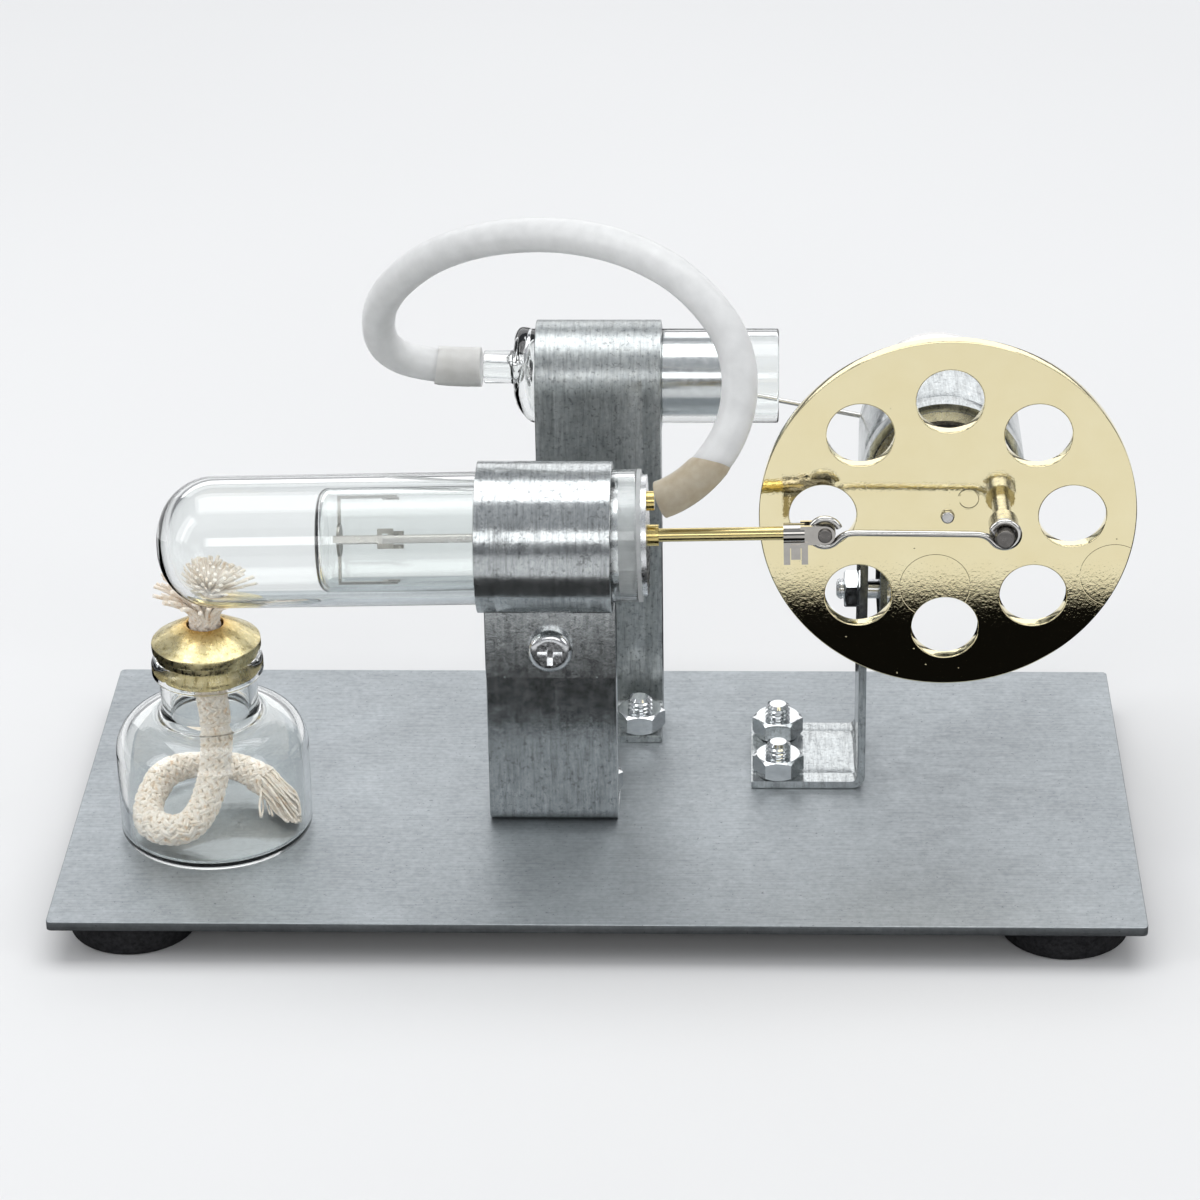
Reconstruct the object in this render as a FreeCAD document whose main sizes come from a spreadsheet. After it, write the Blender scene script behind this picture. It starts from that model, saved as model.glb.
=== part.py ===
import FreeCAD, Part
import math
import os
import re

import Sketcher
from FreeCAD import Placement, Rotation, Vector

# Desktop hot-air (Stirling) engine: glass hot and power cylinders, flywheel, spirit burner.
#
# X runs along the base plate, with the burner at -X and the flywheel at +X. Y runs from the hot
# cylinder to the power cylinder behind it, and Z is up. The origin is on the table under the middle
# of the overall outline. The power cylinder's strap overhangs the base plate at the back, so the
# plate's own middle lies a little to -Y of the origin.

os.makedirs("parts", exist_ok=True)
doc = FreeCAD.newDocument("HotAirEngine")

# ---------------------------------------------------------------- driving dimensions (mm, degrees)
DIMENSIONS = {
    # base plate and feet
    "base_length": 164.0, "base_depth": 82.0, "base_y": -1.85, "base_thick": 1.5,
    "base_corner": 0.8, "foot_dia": 20.0, "foot_high": 5.5, "foot_round": 1.2,
    "foot_inset_x": 11.5, "foot_inset_y": 11.5,
    # bent strip brackets
    "sheet_thick": 1.2, "strip_wide": 20.0, "bend_radius": 1.6, "strap_slack": 0.2,
    "bolt_spacing": 12.7, "bolt_hole": 4.3, "clamp_hole": 3.3,
    # fasteners
    "bolt_dia": 3.4, "bolt_nut_across": 7.0, "bolt_nut_high": 3.2, "bolt_end": 2.1,
    "bolt_head_dia": 7.6, "bolt_head_high": 2.6,
    "screw_dia": 3.0, "screw_nut_across": 5.5, "screw_nut_high": 2.2, "screw_end": 1.2,
    "screw_head_dia": 6.9, "screw_head_high": 2.3,
    # hot cylinder, its axis and its cold end
    "hot_x": -7.2, "hot_y": -22.25, "hot_z": 61.0, "hot_tilt": 1.1,
    "tube_dia": 19.6, "tube_wall": 1.1, "tube_left": 57.2, "tube_right": 13.8, "tube_round": 7.5,
    "plug_dia": 14.0, "plug_start": 8.2, "flange_dia": 18.0, "flange_thick": 0.8,
    "seal_start": 11.1, "seal_lip": 0.6, "gland_dia": 3.2, "gland_head": 1.6,
    "nipple_rise": 5.6, "nipple_dia": 2.9, "nipple_out": 1.1,
    # displacer, its rod and its clevis; distances from the strap's middle along the hot axis
    "displacer_dia": 15.5, "displacer_wall": 0.8, "displacer_left": 33.3, "displacer_long": 40.5,
    "claw_from": 30.5, "claw_long": 6.8, "claw_thick": 0.4, "claw_turn": -26.4,
    "rod_dia": 1.3, "sleeve_dia": 2.0,
    "sleeve_from": 4.0, "clip_from": 35.1, "clip_dia": 3.0, "clip_long": 3.1, "pin_at": 41.2,
    "cheek_thick": 0.45, "cheek_gap": 1.3, "cheek_dia": 3.0, "pivot_dia": 1.6, "pivot_head": 2.1,
    "pivot_head_thick": 0.5, "spacer_dia": 3.1, "fit": 0.1,
    "leg_drop": 4.9, "leg_wide": 0.95, "leg_deep": 1.2, "leg_first": 0.48, "leg_second": 3.1,
    "tongue_wide": 1.4, "tongue_high": 2.4, "tongue_low": 3.7, "tongue_thick": 0.5,
    "bar_high": 0.9, "bar_low": 1.9, "bar_front": 1.0,
    # power cylinder and piston
    "power_x": -1.0, "power_y": 33.95, "power_z": 62.6, "power_dia": 15.0, "power_wall": 1.0,
    "power_left": 13.7, "power_right": 28.5, "nozzle_dia": 5.2, "nozzle_long": 4.7,
    "nozzle_rise": 1.5, "piston_play": 0.04, "piston_left": 0.5, "piston_long": 20.0,
    "piston_crown": 3.0, "skirt_wall": 1.3, "wrist_at": 7.8, "wrist_dia": 1.6,
    # flywheel, shaft, bearings
    "shaft_x": 52.3, "shaft_z": 60.6, "wheel_front": -14.05, "wheel_dia": 56.0, "wheel_thick": 2.0,
    "hole_dia": 10.0, "hole_circle": 37.0, "hub_dia": 13.0, "hub_long": 6.0,
    "shaft_dia": 6.0, "spigot_dia": 1.9, "spigot_out": 0.8, "shaft_back": 31.55,
    "housing_dia": 22.0, "housing_front": -0.55, "housing_long": 30.0, "housing_lip": 16.4,
    "bearing_dia": 19.0, "bearing_wide": 6.0, "bearing_inset": 2.0, "outer_race": 16.0,
    "inner_race": 8.8, "ball_dia": 3.4, "ball_circle": 12.4, "strap_front": -1.05,
    # cranks and connecting rods
    "crank_throw": 8.06, "crank_angle": 6.5, "collar_dia": 4.4, "neck_dia": 2.8,
    "rod_gap": 0.3, "wire_dia": 1.0, "clevis_eye": 4.4, "crank_eye": 4.1, "eye_pin": 2.9,
    "back_throw": 7.5, "back_angle": -85.0, "back_disc_dia": 21.0, "back_disc_thick": 1.6,
    "back_disc_front": 29.95, "back_wire": 0.8, "back_eye": 3.4, "back_pin": 2.5,
    # spirit burner
    "burner_x": -59.5, "burner_y": -13.85, "bottle_dia": 29.6, "bottle_wall": 1.2,
    "bottle_shoulder": 20.5, "neck_out": 15.0, "neck_top": 27.2, "bead_dia": 17.0,
    "mouth_top": 30.2, "mouth_bore": 12.0, "cap_plug": 3.2, "cap_collar": 15.6, "cap_step": 1.2,
    "cap_dia": 16.6, "cap_rim": 1.3, "cap_rise": 2.9,
    "wick_dia": 5.0, "wick_hole": 5.5, "fray_dia": 13.4, "fray_from": 46.0, "fray_high": 6.3,
    "fray_gap": 0.6,
    # hose
    "hose_dia": 5.3,
}
sheet = doc.addObject("Spreadsheet::Sheet", "Dimensions")
for row, (alias, value) in enumerate(DIMENSIONS.items(), start=1):
    sheet.set(f"A{row}", alias)
    sheet.set(f"B{row}", str(value))
    sheet.setAlias(f"B{row}", alias)
doc.recompute()

WORD = re.compile(r"[a-z_]+")
AXIS = {"+x": Rotation(), "-x": Rotation(Vector(0, 0, 1), 180), "+y": Rotation(Vector(0, 0, 1), 90),
        "-y": Rotation(Vector(0, 0, 1), -90), "+z": Rotation(Vector(0, 1, 0), -90),
        "-z": Rotation(Vector(0, 1, 0), 90)}
PARTS = []                       # every finished sub-part, in assembly order


def size(alias):
    """The number in one cell of the sheet."""
    return float(getattr(sheet, alias))


def cells(text):
    """An expression in cell names, with the sheet's name put before each of them."""
    return WORD.sub(lambda m: "Dimensions." + m[0] if m[0] in DIMENSIONS else m[0], str(text))


def bind(obj, **properties):
    """Bind properties of an object to expressions in cell names."""
    for name, text in properties.items():
        obj.setExpression(name, cells(text))
    return obj


def place(obj, x=0, y=0, z=0, turn=None):
    """Turn an object and bind where its local origin lies."""
    obj.Placement = Placement(Vector(0, 0, 0), turn or Rotation())
    for letter, text in zip("xyz", (x, y, z)):
        if text != 0:
            obj.setExpression(".Placement.Base." + letter, cells(text))
    return obj


def keep(obj, label, **where):
    """Name a finished sub-part and put it on the list that is written out."""
    obj.Label = label
    if where:
        place(obj, **where)
    PARTS.append(obj)
    return obj


def cylinder(dia, length, along="+x", x=0, y=0, z=0):
    """A round bar from (x, y, z) along one axis."""
    bar = doc.addObject("Part::Cylinder", "Bar")
    bind(bar, Radius=f"({dia}) / 2", Height=length)
    return place(bar, x, y, z, AXIS[along] * Rotation(Vector(0, 1, 0), 90))


def box(long, wide, high, x=0, y=0, z=0):
    """A block centred on its x and y, standing on z."""
    block = doc.addObject("Part::Box", "Block")
    bind(block, Length=long, Width=wide, Height=high)
    return place(block, f"({x}) - ({long}) / 2", f"({y}) - ({wide}) / 2", z)


def ball(dia, x, y, z):
    sphere = doc.addObject("Part::Sphere", "Ball")
    bind(sphere, Radius=f"({dia}) / 2")
    return place(sphere, x, y, z)


def cut(base, tool):
    result = doc.addObject("Part::Cut", "Cut")
    result.Base, result.Tool = base, tool
    return result


def common(base, tool):
    result = doc.addObject("Part::Common", "Common")
    result.Base, result.Tool = base, tool
    return result


def fuse(*pieces):
    result = doc.addObject("Part::MultiFuse", "Fuse")
    result.Shapes = list(pieces)
    return result


def group(*pieces):
    """Identical loose pieces, kept as separate solids in one node."""
    result = doc.addObject("Part::Compound", "Group")
    result.Links = list(pieces)
    return result


def ring(outer, inner, length, along="+x", x=0, y=0, z=0):
    """A plain tube from (x, y, z) along one axis."""
    return cut(cylinder(outer, length, along, x, y, z), cylinder(inner, length, along, x, y, z))


def turned(profile, rounds=()):
    """A lathe part about local X: profile is (position, diameter) pairs, rounds (corner, radius)."""
    body = doc.addObject("PartDesign::Body", "Turned")
    plane = [f for f in body.Origin.OriginFeatures if f.Role == "XY_Plane"][0]
    sketch = body.newObject("Sketcher::SketchObject", "Profile")
    sketch.AttachmentSupport = [(plane, "")]
    sketch.MapMode = "FlatFace"
    count = len(profile)
    spread = [Vector(1.0 + index, 1.0 + (index * index) % 7, 0) for index in range(count)]
    for index in range(count):
        sketch.addGeometry(Part.LineSegment(spread[index], spread[(index + 1) % count]), False)
    for index in range(count):
        sketch.addConstraint(Sketcher.Constraint("Coincident", index, 2, (index + 1) % count, 1))
    for index, (along, across) in enumerate(profile):
        for kind, text, axis in (("DistanceX", str(along), -2), ("DistanceY", f"({across}) / 2", -1)):
            if text in ("0", "(0) / 2"):
                sketch.addConstraint(Sketcher.Constraint("PointOnObject", index, 1, axis))
                continue
            number = sketch.addConstraint(Sketcher.Constraint(kind, -1, 1, index, 1, 1.0 + index))
            sketch.setExpression(f"Constraints[{number}]", cells(text))
    doc.recompute()
    lathe = body.newObject("PartDesign::Revolution", "Lathe")
    lathe.Profile = sketch
    lathe.ReferenceAxis = (sketch, ["H_Axis"])
    lathe.Angle = 360.0
    doc.recompute()
    for corner, radius in rounds:
        tip = body.Tip
        spot = sketch.Geometry[corner].StartPoint
        names = [f"Edge{n}" for n, edge in enumerate(tip.Shape.Edges, start=1)
                 if isinstance(edge.Curve, Part.Circle) and abs(edge.Curve.Center.x - spot.x) < 1e-4
                 and abs(edge.Curve.Radius - spot.y) < 1e-4]
        fillet = body.newObject("PartDesign::Fillet", "Round")
        fillet.Base = (tip, names)
        bind(fillet, Radius=radius)
        doc.recompute()
    return body


# ---------------------------------------------------------------- places that several parts share
PLATE_TOP = "(foot_high + base_thick)"
TILT = Rotation(Vector(0, 1, 0), -size("hot_tilt"))
COS_TILT, SIN_TILT = "cos(hot_tilt * 1 deg)", "sin(hot_tilt * 1 deg)"


def on_hot_axis(along, turn=None):
    """Where a part sits whose local origin is this far along the hot cylinder's axis."""
    return {"x": f"hot_x + ({along}) * {COS_TILT}", "y": "hot_y",
            "z": f"hot_z + ({along}) * {SIN_TILT}", "turn": TILT * (turn or Rotation())}


def polar(throw, angle):
    """Offsets in X and Z of a crank pin from the shaft."""
    return f"{throw} * cos({angle} * 1 deg)", f"{throw} * sin({angle} * 1 deg)"


# ---------------------------------------------------------------- bent strip brackets
def arc(centre, radius, start, end):
    """An edge of a circle from one angle to another, in degrees, either way round."""
    spots = [Vector(centre[0] + radius * math.cos(math.radians(a)),
                    centre[1] + radius * math.sin(math.radians(a)), 0)
             for a in (start, (start + end) / 2, end)]
    return Part.Arc(*spots).toShape()


def strip_outline(loop, drop, foot, tab_end, tab_gap):
    """The strip seen edge-on: foot, upright, loop round the origin, tab back beside the upright."""
    half, bend = size("sheet_thick") / 2, size("bend_radius")
    tab = -loop + 2 * half + tab_gap
    lean = math.asin((-tab - bend) / (loop + bend))
    end_bend = (-(loop + bend) * math.sin(lean), -(loop + bend) * math.cos(lean))
    turn = math.degrees(lean)

    def side(offset):
        return [
            Part.LineSegment(Vector(-loop - foot, -drop + offset, 0),
                             Vector(-loop - bend, -drop + offset, 0)).toShape(),
            arc((-loop - bend, -drop + bend), bend - offset, -90, 0),
            Part.LineSegment(Vector(-loop - offset, -drop + bend, 0),
                             Vector(-loop - offset, 0, 0)).toShape(),
            arc((0, 0), loop + offset, 180, -90 - turn),
            arc(end_bend, bend - offset, 90 - turn, 180),
            Part.LineSegment(Vector(tab + offset, end_bend[1], 0),
                             Vector(tab + offset, -tab_end, 0)).toShape()]

    caps = [Part.LineSegment(Vector(-loop - foot, -drop - half, 0),
                             Vector(-loop - foot, -drop + half, 0)).toShape(),
            Part.LineSegment(Vector(tab - half, -tab_end, 0),
                             Vector(tab + half, -tab_end, 0)).toShape()]
    return Part.Face(Part.Wire(Part.__sortEdges__(side(half) + side(-half) + caps)))


def bracket(name, held_dia, centre, loop_side, foot, bolts_at, tab_end, clamp_at, tab_gap):
    """One strip bracket and its clamp screw, nut, foot bolts and foot nuts.

    centre is the loop's middle; loop_side is the unit vector from the upright to the loop.
    """
    half, wide = size("sheet_thick") / 2, size("strip_wide")
    loop = held_dia / 2 + size("strap_slack") + half
    top = size("foot_high") + size("base_thick")
    drop = centre.z - top - half
    solid = strip_outline(loop, drop, foot, tab_end, tab_gap).extrude(Vector(0, 0, wide))
    solid.translate(Vector(0, 0, -wide / 2))
    stack = 4 * half + tab_gap
    for side in (-1, 1):
        spot = Vector(-loop - bolts_at, -drop - 2 * half, side * size("bolt_spacing") / 2)
        solid = solid.cut(Part.makeCylinder(size("bolt_hole") / 2, 4 * half, spot, Vector(0, 1, 0)))
    solid = solid.cut(Part.makeCylinder(size("clamp_hole") / 2, stack + 2 * half,
                                        Vector(-loop - 2 * half, -clamp_at, 0), Vector(1, 0, 0)))
    up = Vector(0, 0, 1)
    turn = Rotation(loop_side, up, loop_side.cross(up), "XYZ")
    strip = doc.addObject("Part::Feature", "Strip")
    strip.Shape = solid
    strip.Placement = Placement(centre, turn)
    keep(strip, name + "_bracket")

    def world(u, v, w):
        return centre + turn.multVec(Vector(u, v, w))

    outward = -loop_side
    tab_face = -loop + half + tab_gap + 2 * half
    screw_turn = Rotation(Vector(1, 0, 0), outward)
    screw = pan_screw("screw", stack + size("screw_nut_high") + size("screw_end"))
    keep(screw, name + "_clamp_screw").Placement = Placement(world(tab_face, -clamp_at, 0), screw_turn)
    nut = hex_nut("screw")
    keep(nut, name + "_clamp_nut").Placement = Placement(world(-loop - half, -clamp_at, 0), screw_turn)
    bolts, nuts = [], []
    for side in (-1, 1):
        spot = world(-loop - bolts_at, -drop, side * size("bolt_spacing") / 2)
        length = 2 * half + size("base_thick") + size("bolt_nut_high") + size("bolt_end")
        bolt = pan_screw("bolt", length)
        bolt.Placement = Placement(Vector(spot.x, spot.y, size("foot_high")), AXIS["+z"])
        bolts.append(bolt)
        nut = hex_nut("bolt")
        nut.Placement = Placement(Vector(spot.x, spot.y, top + 2 * half), AXIS["+z"])
        nuts.append(nut)
        BOLT_SPOTS.append(spot)
    keep(group(*bolts), name + "_foot_bolts")
    keep(group(*nuts), name + "_foot_nuts")


# ---------------------------------------------------------------- fasteners
BOLT_SPOTS = []


def pan_screw(kind, length):
    """A cross-recessed pan-head screw: its head ends at the origin, its shank runs along +X."""
    head, high = f"{kind}_head_dia", f"{kind}_head_high"
    round_off = size(high) * 0.55
    body = turned([(0, 0), (0, head), (high, head), (high, f"{kind}_dia"),
                   (f"{high} + {length} - 0.4", f"{kind}_dia"),
                   (f"{high} + {length}", f"{kind}_dia - 0.8"), (f"{high} + {length}", 0)],
                  [(1, round_off)])
    arms = [box(f"{high} * 1.1", f"{head} * {wide}", f"{head} * {tall}", z=f"0 - {head} * {tall} / 2")
            for wide, tall in ((0.55, 0.13), (0.13, 0.55))]
    whole = cut(body, fuse(*arms))
    seat = doc.addObject("Part::Compound", "Screw")
    place(whole, x=f"0 - {high}")
    seat.Links = [whole]
    return seat


def hex_nut(kind):
    """A chamfered hexagon nut on its screw's axis, from the origin along +X."""
    across, high = f"{kind}_nut_across", f"{kind}_nut_high"
    prism = doc.addObject("Part::Prism", "Hexagon")
    prism.Polygon = 6
    bind(prism, Circumradius=f"{across} / 2 / cos(30 deg)", Height=high)
    place(prism, turn=Rotation(Vector(0, 1, 0), 90))
    corner = f"{across} / cos(30 deg)"
    lens = turned([(0, 0), (0, f"{across} * 0.97"), (f"{high} * 0.14", corner),
                   (f"{high} * 0.86", corner), (high, f"{across} * 0.97"), (high, 0)])
    return cut(common(prism, lens), cylinder(f"{kind}_dia + fit", high))


# ---------------------------------------------------------------- base plate and feet
def base_plate():
    body = doc.addObject("PartDesign::Body", "Plate")
    plane = [f for f in body.Origin.OriginFeatures if f.Role == "XY_Plane"][0]
    outline = body.newObject("Sketcher::SketchObject", "Outline")
    outline.AttachmentSupport = [(plane, "")]
    outline.MapMode = "FlatFace"
    corners = [Vector(-1, -1, 0), Vector(1, -1, 0), Vector(1, 1, 0), Vector(-1, 1, 0)]
    for index in range(4):
        outline.addGeometry(Part.LineSegment(corners[index], corners[(index + 1) % 4]), False)
    for index in range(4):
        outline.addConstraint(Sketcher.Constraint("Coincident", index, 2, (index + 1) % 4, 1))
    for kind, index in (("Horizontal", 0), ("Vertical", 1), ("Horizontal", 2), ("Vertical", 3)):
        outline.addConstraint(Sketcher.Constraint(kind, index))
    outline.addConstraint(Sketcher.Constraint("Symmetric", 0, 1, 1, 2, -1, 1))
    for kind, edge, cell in (("DistanceX", 0, "base_length"), ("DistanceY", 1, "base_depth")):
        number = outline.addConstraint(Sketcher.Constraint(kind, edge, 1, edge, 2, 10.0))
        outline.setExpression(f"Constraints[{number}]", cells(cell))
    pad = body.newObject("PartDesign::Pad", "Sheet")
    pad.Profile = outline
    bind(pad, Length="base_thick")
    doc.recompute()
    upright = [f"Edge{n}" for n, edge in enumerate(pad.Shape.Edges, start=1)
               if abs(edge.tangentAt(edge.FirstParameter).z) > 0.99]
    rounded = body.newObject("PartDesign::Fillet", "Corners")
    rounded.Base = (pad, upright)
    bind(rounded, Radius="base_corner")
    drills = [cylinder("bolt_hole", "base_thick", "+z", x=str(spot.x), y=f"{spot.y} - base_y")
              for spot in BOLT_SPOTS]
    keep(cut(body, fuse(*drills)), "base_plate", y="base_y", z="foot_high")


def feet():
    for front, side_y in (("front", -1), ("rear", 1)):
        for left, side_x in (("left", -1), ("right", 1)):
            pad = turned([(0, 0), (0, "foot_dia"), ("foot_high", "foot_dia"), ("foot_high", 0)],
                         [(1, "foot_round")])
            keep(pad, f"foot_{front}_{left}", x=f"{side_x} * (base_length / 2 - foot_inset_x)",
                 y=f"base_y + {side_y} * (base_depth / 2 - foot_inset_y)", turn=AXIS["+z"])


# ---------------------------------------------------------------- hot cylinder and its cold end
def hot_cylinder():
    length = "(tube_left + tube_right)"
    outer = turned([(0, 0), (0, "tube_dia"), (length, "tube_dia"), (length, 0)], [(1, "tube_round")])
    bore = "(tube_dia - 2 * tube_wall)"
    inner = turned([("tube_wall", 0), ("tube_wall", bore), (length, bore), (length, 0)],
                   [(1, "tube_round - tube_wall")])
    keep(cut(outer, inner), "hot_cylinder", **on_hot_axis("0 - tube_left"))


def cold_end():
    bore = "(tube_dia - 2 * tube_wall)"
    flange_at = "(tube_right + seal_lip - plug_start)"
    end = f"({flange_at} + flange_thick)"
    core = turned([(0, 0), (0, "plug_dia"), (flange_at, "plug_dia"), (flange_at, "flange_dia"),
                   (end, "flange_dia"), (end, 0)])
    spigot = "(gland_dia - 0.7)"
    drills = fuse(cylinder(spigot, end), cylinder("1.8", end, z="nipple_rise"))
    keep(cut(core, drills), "cold_end_plug", **on_hot_axis("plug_start"))
    lip_at = "(tube_right - seal_start)"
    seal = turned([(0, "plug_dia"), (0, bore), (lip_at, bore), (lip_at, "tube_dia"),
                   (f"{lip_at} + seal_lip", "tube_dia"), (f"{lip_at} + seal_lip", "plug_dia")])
    keep(seal, "plug_seal", **on_hot_axis("seal_start"))
    hole = "(sleeve_dia + 0.06)"
    gland = turned([(0, hole), (0, spigot), (end, spigot), (end, "gland_dia"),
                    (f"{end} + gland_head", "gland_dia"), (f"{end} + gland_head", hole)])
    keep(gland, "rod_gland", **on_hot_axis("plug_start"))
    tip = f"({end} + nipple_out)"
    nipple = turned([(0, "1.0"), (0, "1.8"), (end, "1.8"), (end, "nipple_dia"), (tip, "nipple_dia"),
                     (tip, "1.0")])
    above = on_hot_axis("plug_start")
    above["x"] += f" - nipple_rise * {SIN_TILT}"
    above["z"] += f" + nipple_rise * {COS_TILT}"
    keep(nipple, "hose_nipple", **above)


# ---------------------------------------------------------------- displacer and its rod
def displacer():
    bore = "(displacer_dia - 2 * displacer_wall)"
    outer = turned([(0, 0), (0, "displacer_dia"), ("displacer_long", "displacer_dia"),
                    ("displacer_long", 0)], [(1, 2.4)])
    inner = turned([("displacer_wall", 0), ("displacer_wall", bore), ("displacer_long", bore),
                    ("displacer_long", 0)], [(1, 1.6)])
    keep(cut(outer, inner), "displacer_tube", **on_hot_axis("0 - displacer_left"))

    # sprung retainer: a disc on the rod with four arms that run along the inside of the tube
    reach = f"({bore} / 2 - 0.3)"
    disc = cylinder("5", "claw_thick")
    arms = []
    for quarter in range(4):
        spoke = box("claw_thick", "1", reach, x="claw_thick / 2", z="0")
        rail = box("claw_long", "1", "claw_thick", x="claw_long / 2", z=f"{reach} - claw_thick")
        tines = [box("2.2", "0.7", "claw_thick", x="claw_long + 0.9", y=f"{side} * 1.05",
                     z=f"{reach} - claw_thick - 0.15") for side in (-1, 1)]
        bridge = box("0.7", "2.8", "claw_thick", x="claw_long", z=f"{reach} - claw_thick - 0.15")
        arm = fuse(spoke, rail, bridge, *tines)
        arms.append(place(arm, turn=Rotation(Vector(1, 0, 0), 90 * quarter + size("claw_turn"))))
    claw = cut(fuse(disc, *arms), cylinder("rod_dia", "claw_thick"))
    keep(claw, "displacer_claw", **on_hot_axis("0 - claw_from"))

    clip_end = "(clip_from + clip_long)"
    keep(cylinder("rod_dia", f"claw_from + {clip_end}"), "displacer_rod",
         **on_hot_axis("0 - claw_from", Rotation(Vector(0, 1, 0), 90)))
    keep(ring("sleeve_dia", "rod_dia", f"sleeve_from + {clip_end} - 0.2"), "rod_sleeve",
         **on_hot_axis("0 - sleeve_from"))

    # stamped clip: a barrel on the rod's end, two cheeks for the pin, two legs and a tongue below
    to_pin = "(pin_at - clip_from)"
    barrel = ring("clip_dia", "sleeve_dia", "clip_long")
    cheeks = []
    for side in (-1, 1):
        middle = f"{side} * (cheek_gap + cheek_thick) / 2"
        flat = box(f"{to_pin} - clip_long + 0.6", "cheek_thick", "cheek_dia",
                   x=f"(clip_long - 0.6 + {to_pin}) / 2", y=middle, z="0 - cheek_dia / 2")
        nose = cylinder("cheek_dia", "cheek_thick", "+y", x=to_pin,
                        y=f"{middle} - cheek_thick / 2")
        cheeks += [flat, nose]
    legs = [box("leg_wide", "leg_deep", "leg_drop - cheek_dia * 0.4", x=spot, z="0 - leg_drop")
            for spot in ("leg_first", "leg_second")]
    between = "(leg_first + leg_second) / 2"
    bar = box("leg_second - leg_first + leg_wide", "tongue_thick", "bar_high", x=between,
              y="0 - bar_front", z="0 - bar_low")
    tongue = box("tongue_wide", "tongue_thick", "tongue_high", x=between,
                 y="0 - bar_front - 0.15", z="0 - tongue_low")
    holes = fuse(cylinder("pivot_dia", "2 * cheek_dia", "+y", x=to_pin, y="0 - cheek_dia"),
                 cylinder("sleeve_dia", "clip_long + 0.6"))
    keep(cut(fuse(barrel, bar, tongue, *legs, *cheeks), holes), "clevis_clip",
         **on_hot_axis("clip_from"))
    outside = "(cheek_gap / 2 + cheek_thick)"
    inner, rear = "(pivot_head_thick + cheek_thick)", f"(pivot_head_thick + 2 * {outside})"
    spacer = (f"{inner} + fit / 2", f"{inner} + cheek_gap - fit / 2")
    pin = turned([(0, 0), (0, "pivot_head"), ("pivot_head_thick", "pivot_head"),
                  ("pivot_head_thick", "pivot_dia"), (spacer[0], "pivot_dia"),
                  (spacer[0], "spacer_dia"), (spacer[1], "spacer_dia"), (spacer[1], "pivot_dia"),
                  (rear, "pivot_dia"), (rear, "pivot_head"),
                  (f"{rear} + pivot_head_thick", "pivot_head"),
                  (f"{rear} + pivot_head_thick", 0)], [(1, 0.2)])
    spot = on_hot_axis("pin_at")
    spot["y"] = f"hot_y - {outside} - pivot_head_thick"
    spot["turn"] = AXIS["+y"]
    keep(pin, "clevis_pin", **spot)


# ---------------------------------------------------------------- power cylinder and piston
def power_side():
    length = "(power_left + power_right)"
    centre = {"x": "power_x - power_left", "y": "power_y", "z": "power_z"}
    outer = turned([(0, 0), (0, "power_dia"), (length, "power_dia"), (length, 0)], [(1, 2.2)])
    nozzle = cylinder("nozzle_dia", "nozzle_long + 1.2", x="0 - nozzle_long", z="nozzle_rise")
    root = cylinder("nozzle_dia + 1.6", "1.4", x="-0.9", z="nozzle_rise")
    bore = "(power_dia - 2 * power_wall)"
    inner = turned([("1.5", 0), ("1.5", bore), (length, bore), (length, 0)], [(1, 1.4)])
    channel = cylinder("3.0", "nozzle_long + 4", x="0 - nozzle_long", z="nozzle_rise")
    keep(cut(fuse(outer, nozzle, root), fuse(inner, channel)), "power_cylinder", **centre)

    piston_dia = "(power_dia - 2 * power_wall - 2 * piston_play)"
    hollow = f"({piston_dia} - 2 * skirt_wall)"
    skirt = turned([(0, 0), (0, piston_dia), ("piston_long", piston_dia), ("piston_long", hollow),
                    ("piston_crown", hollow), ("piston_crown", 0)], [(1, 0.4)])
    gudgeon = cylinder("wrist_dia", piston_dia, "+y", x="wrist_at + piston_left",
                       y=f"0 - {piston_dia} / 2")
    keep(cut(skirt, gudgeon), "power_piston", x="power_x - piston_left", y="power_y", z="power_z")
    keep(cylinder("wrist_dia", "power_dia - 2 * power_wall - 0.8", "+y", x="power_x + wrist_at",
                  y="power_y - power_dia / 2 + power_wall + 0.4", z="power_z"), "wrist_pin")


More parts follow.
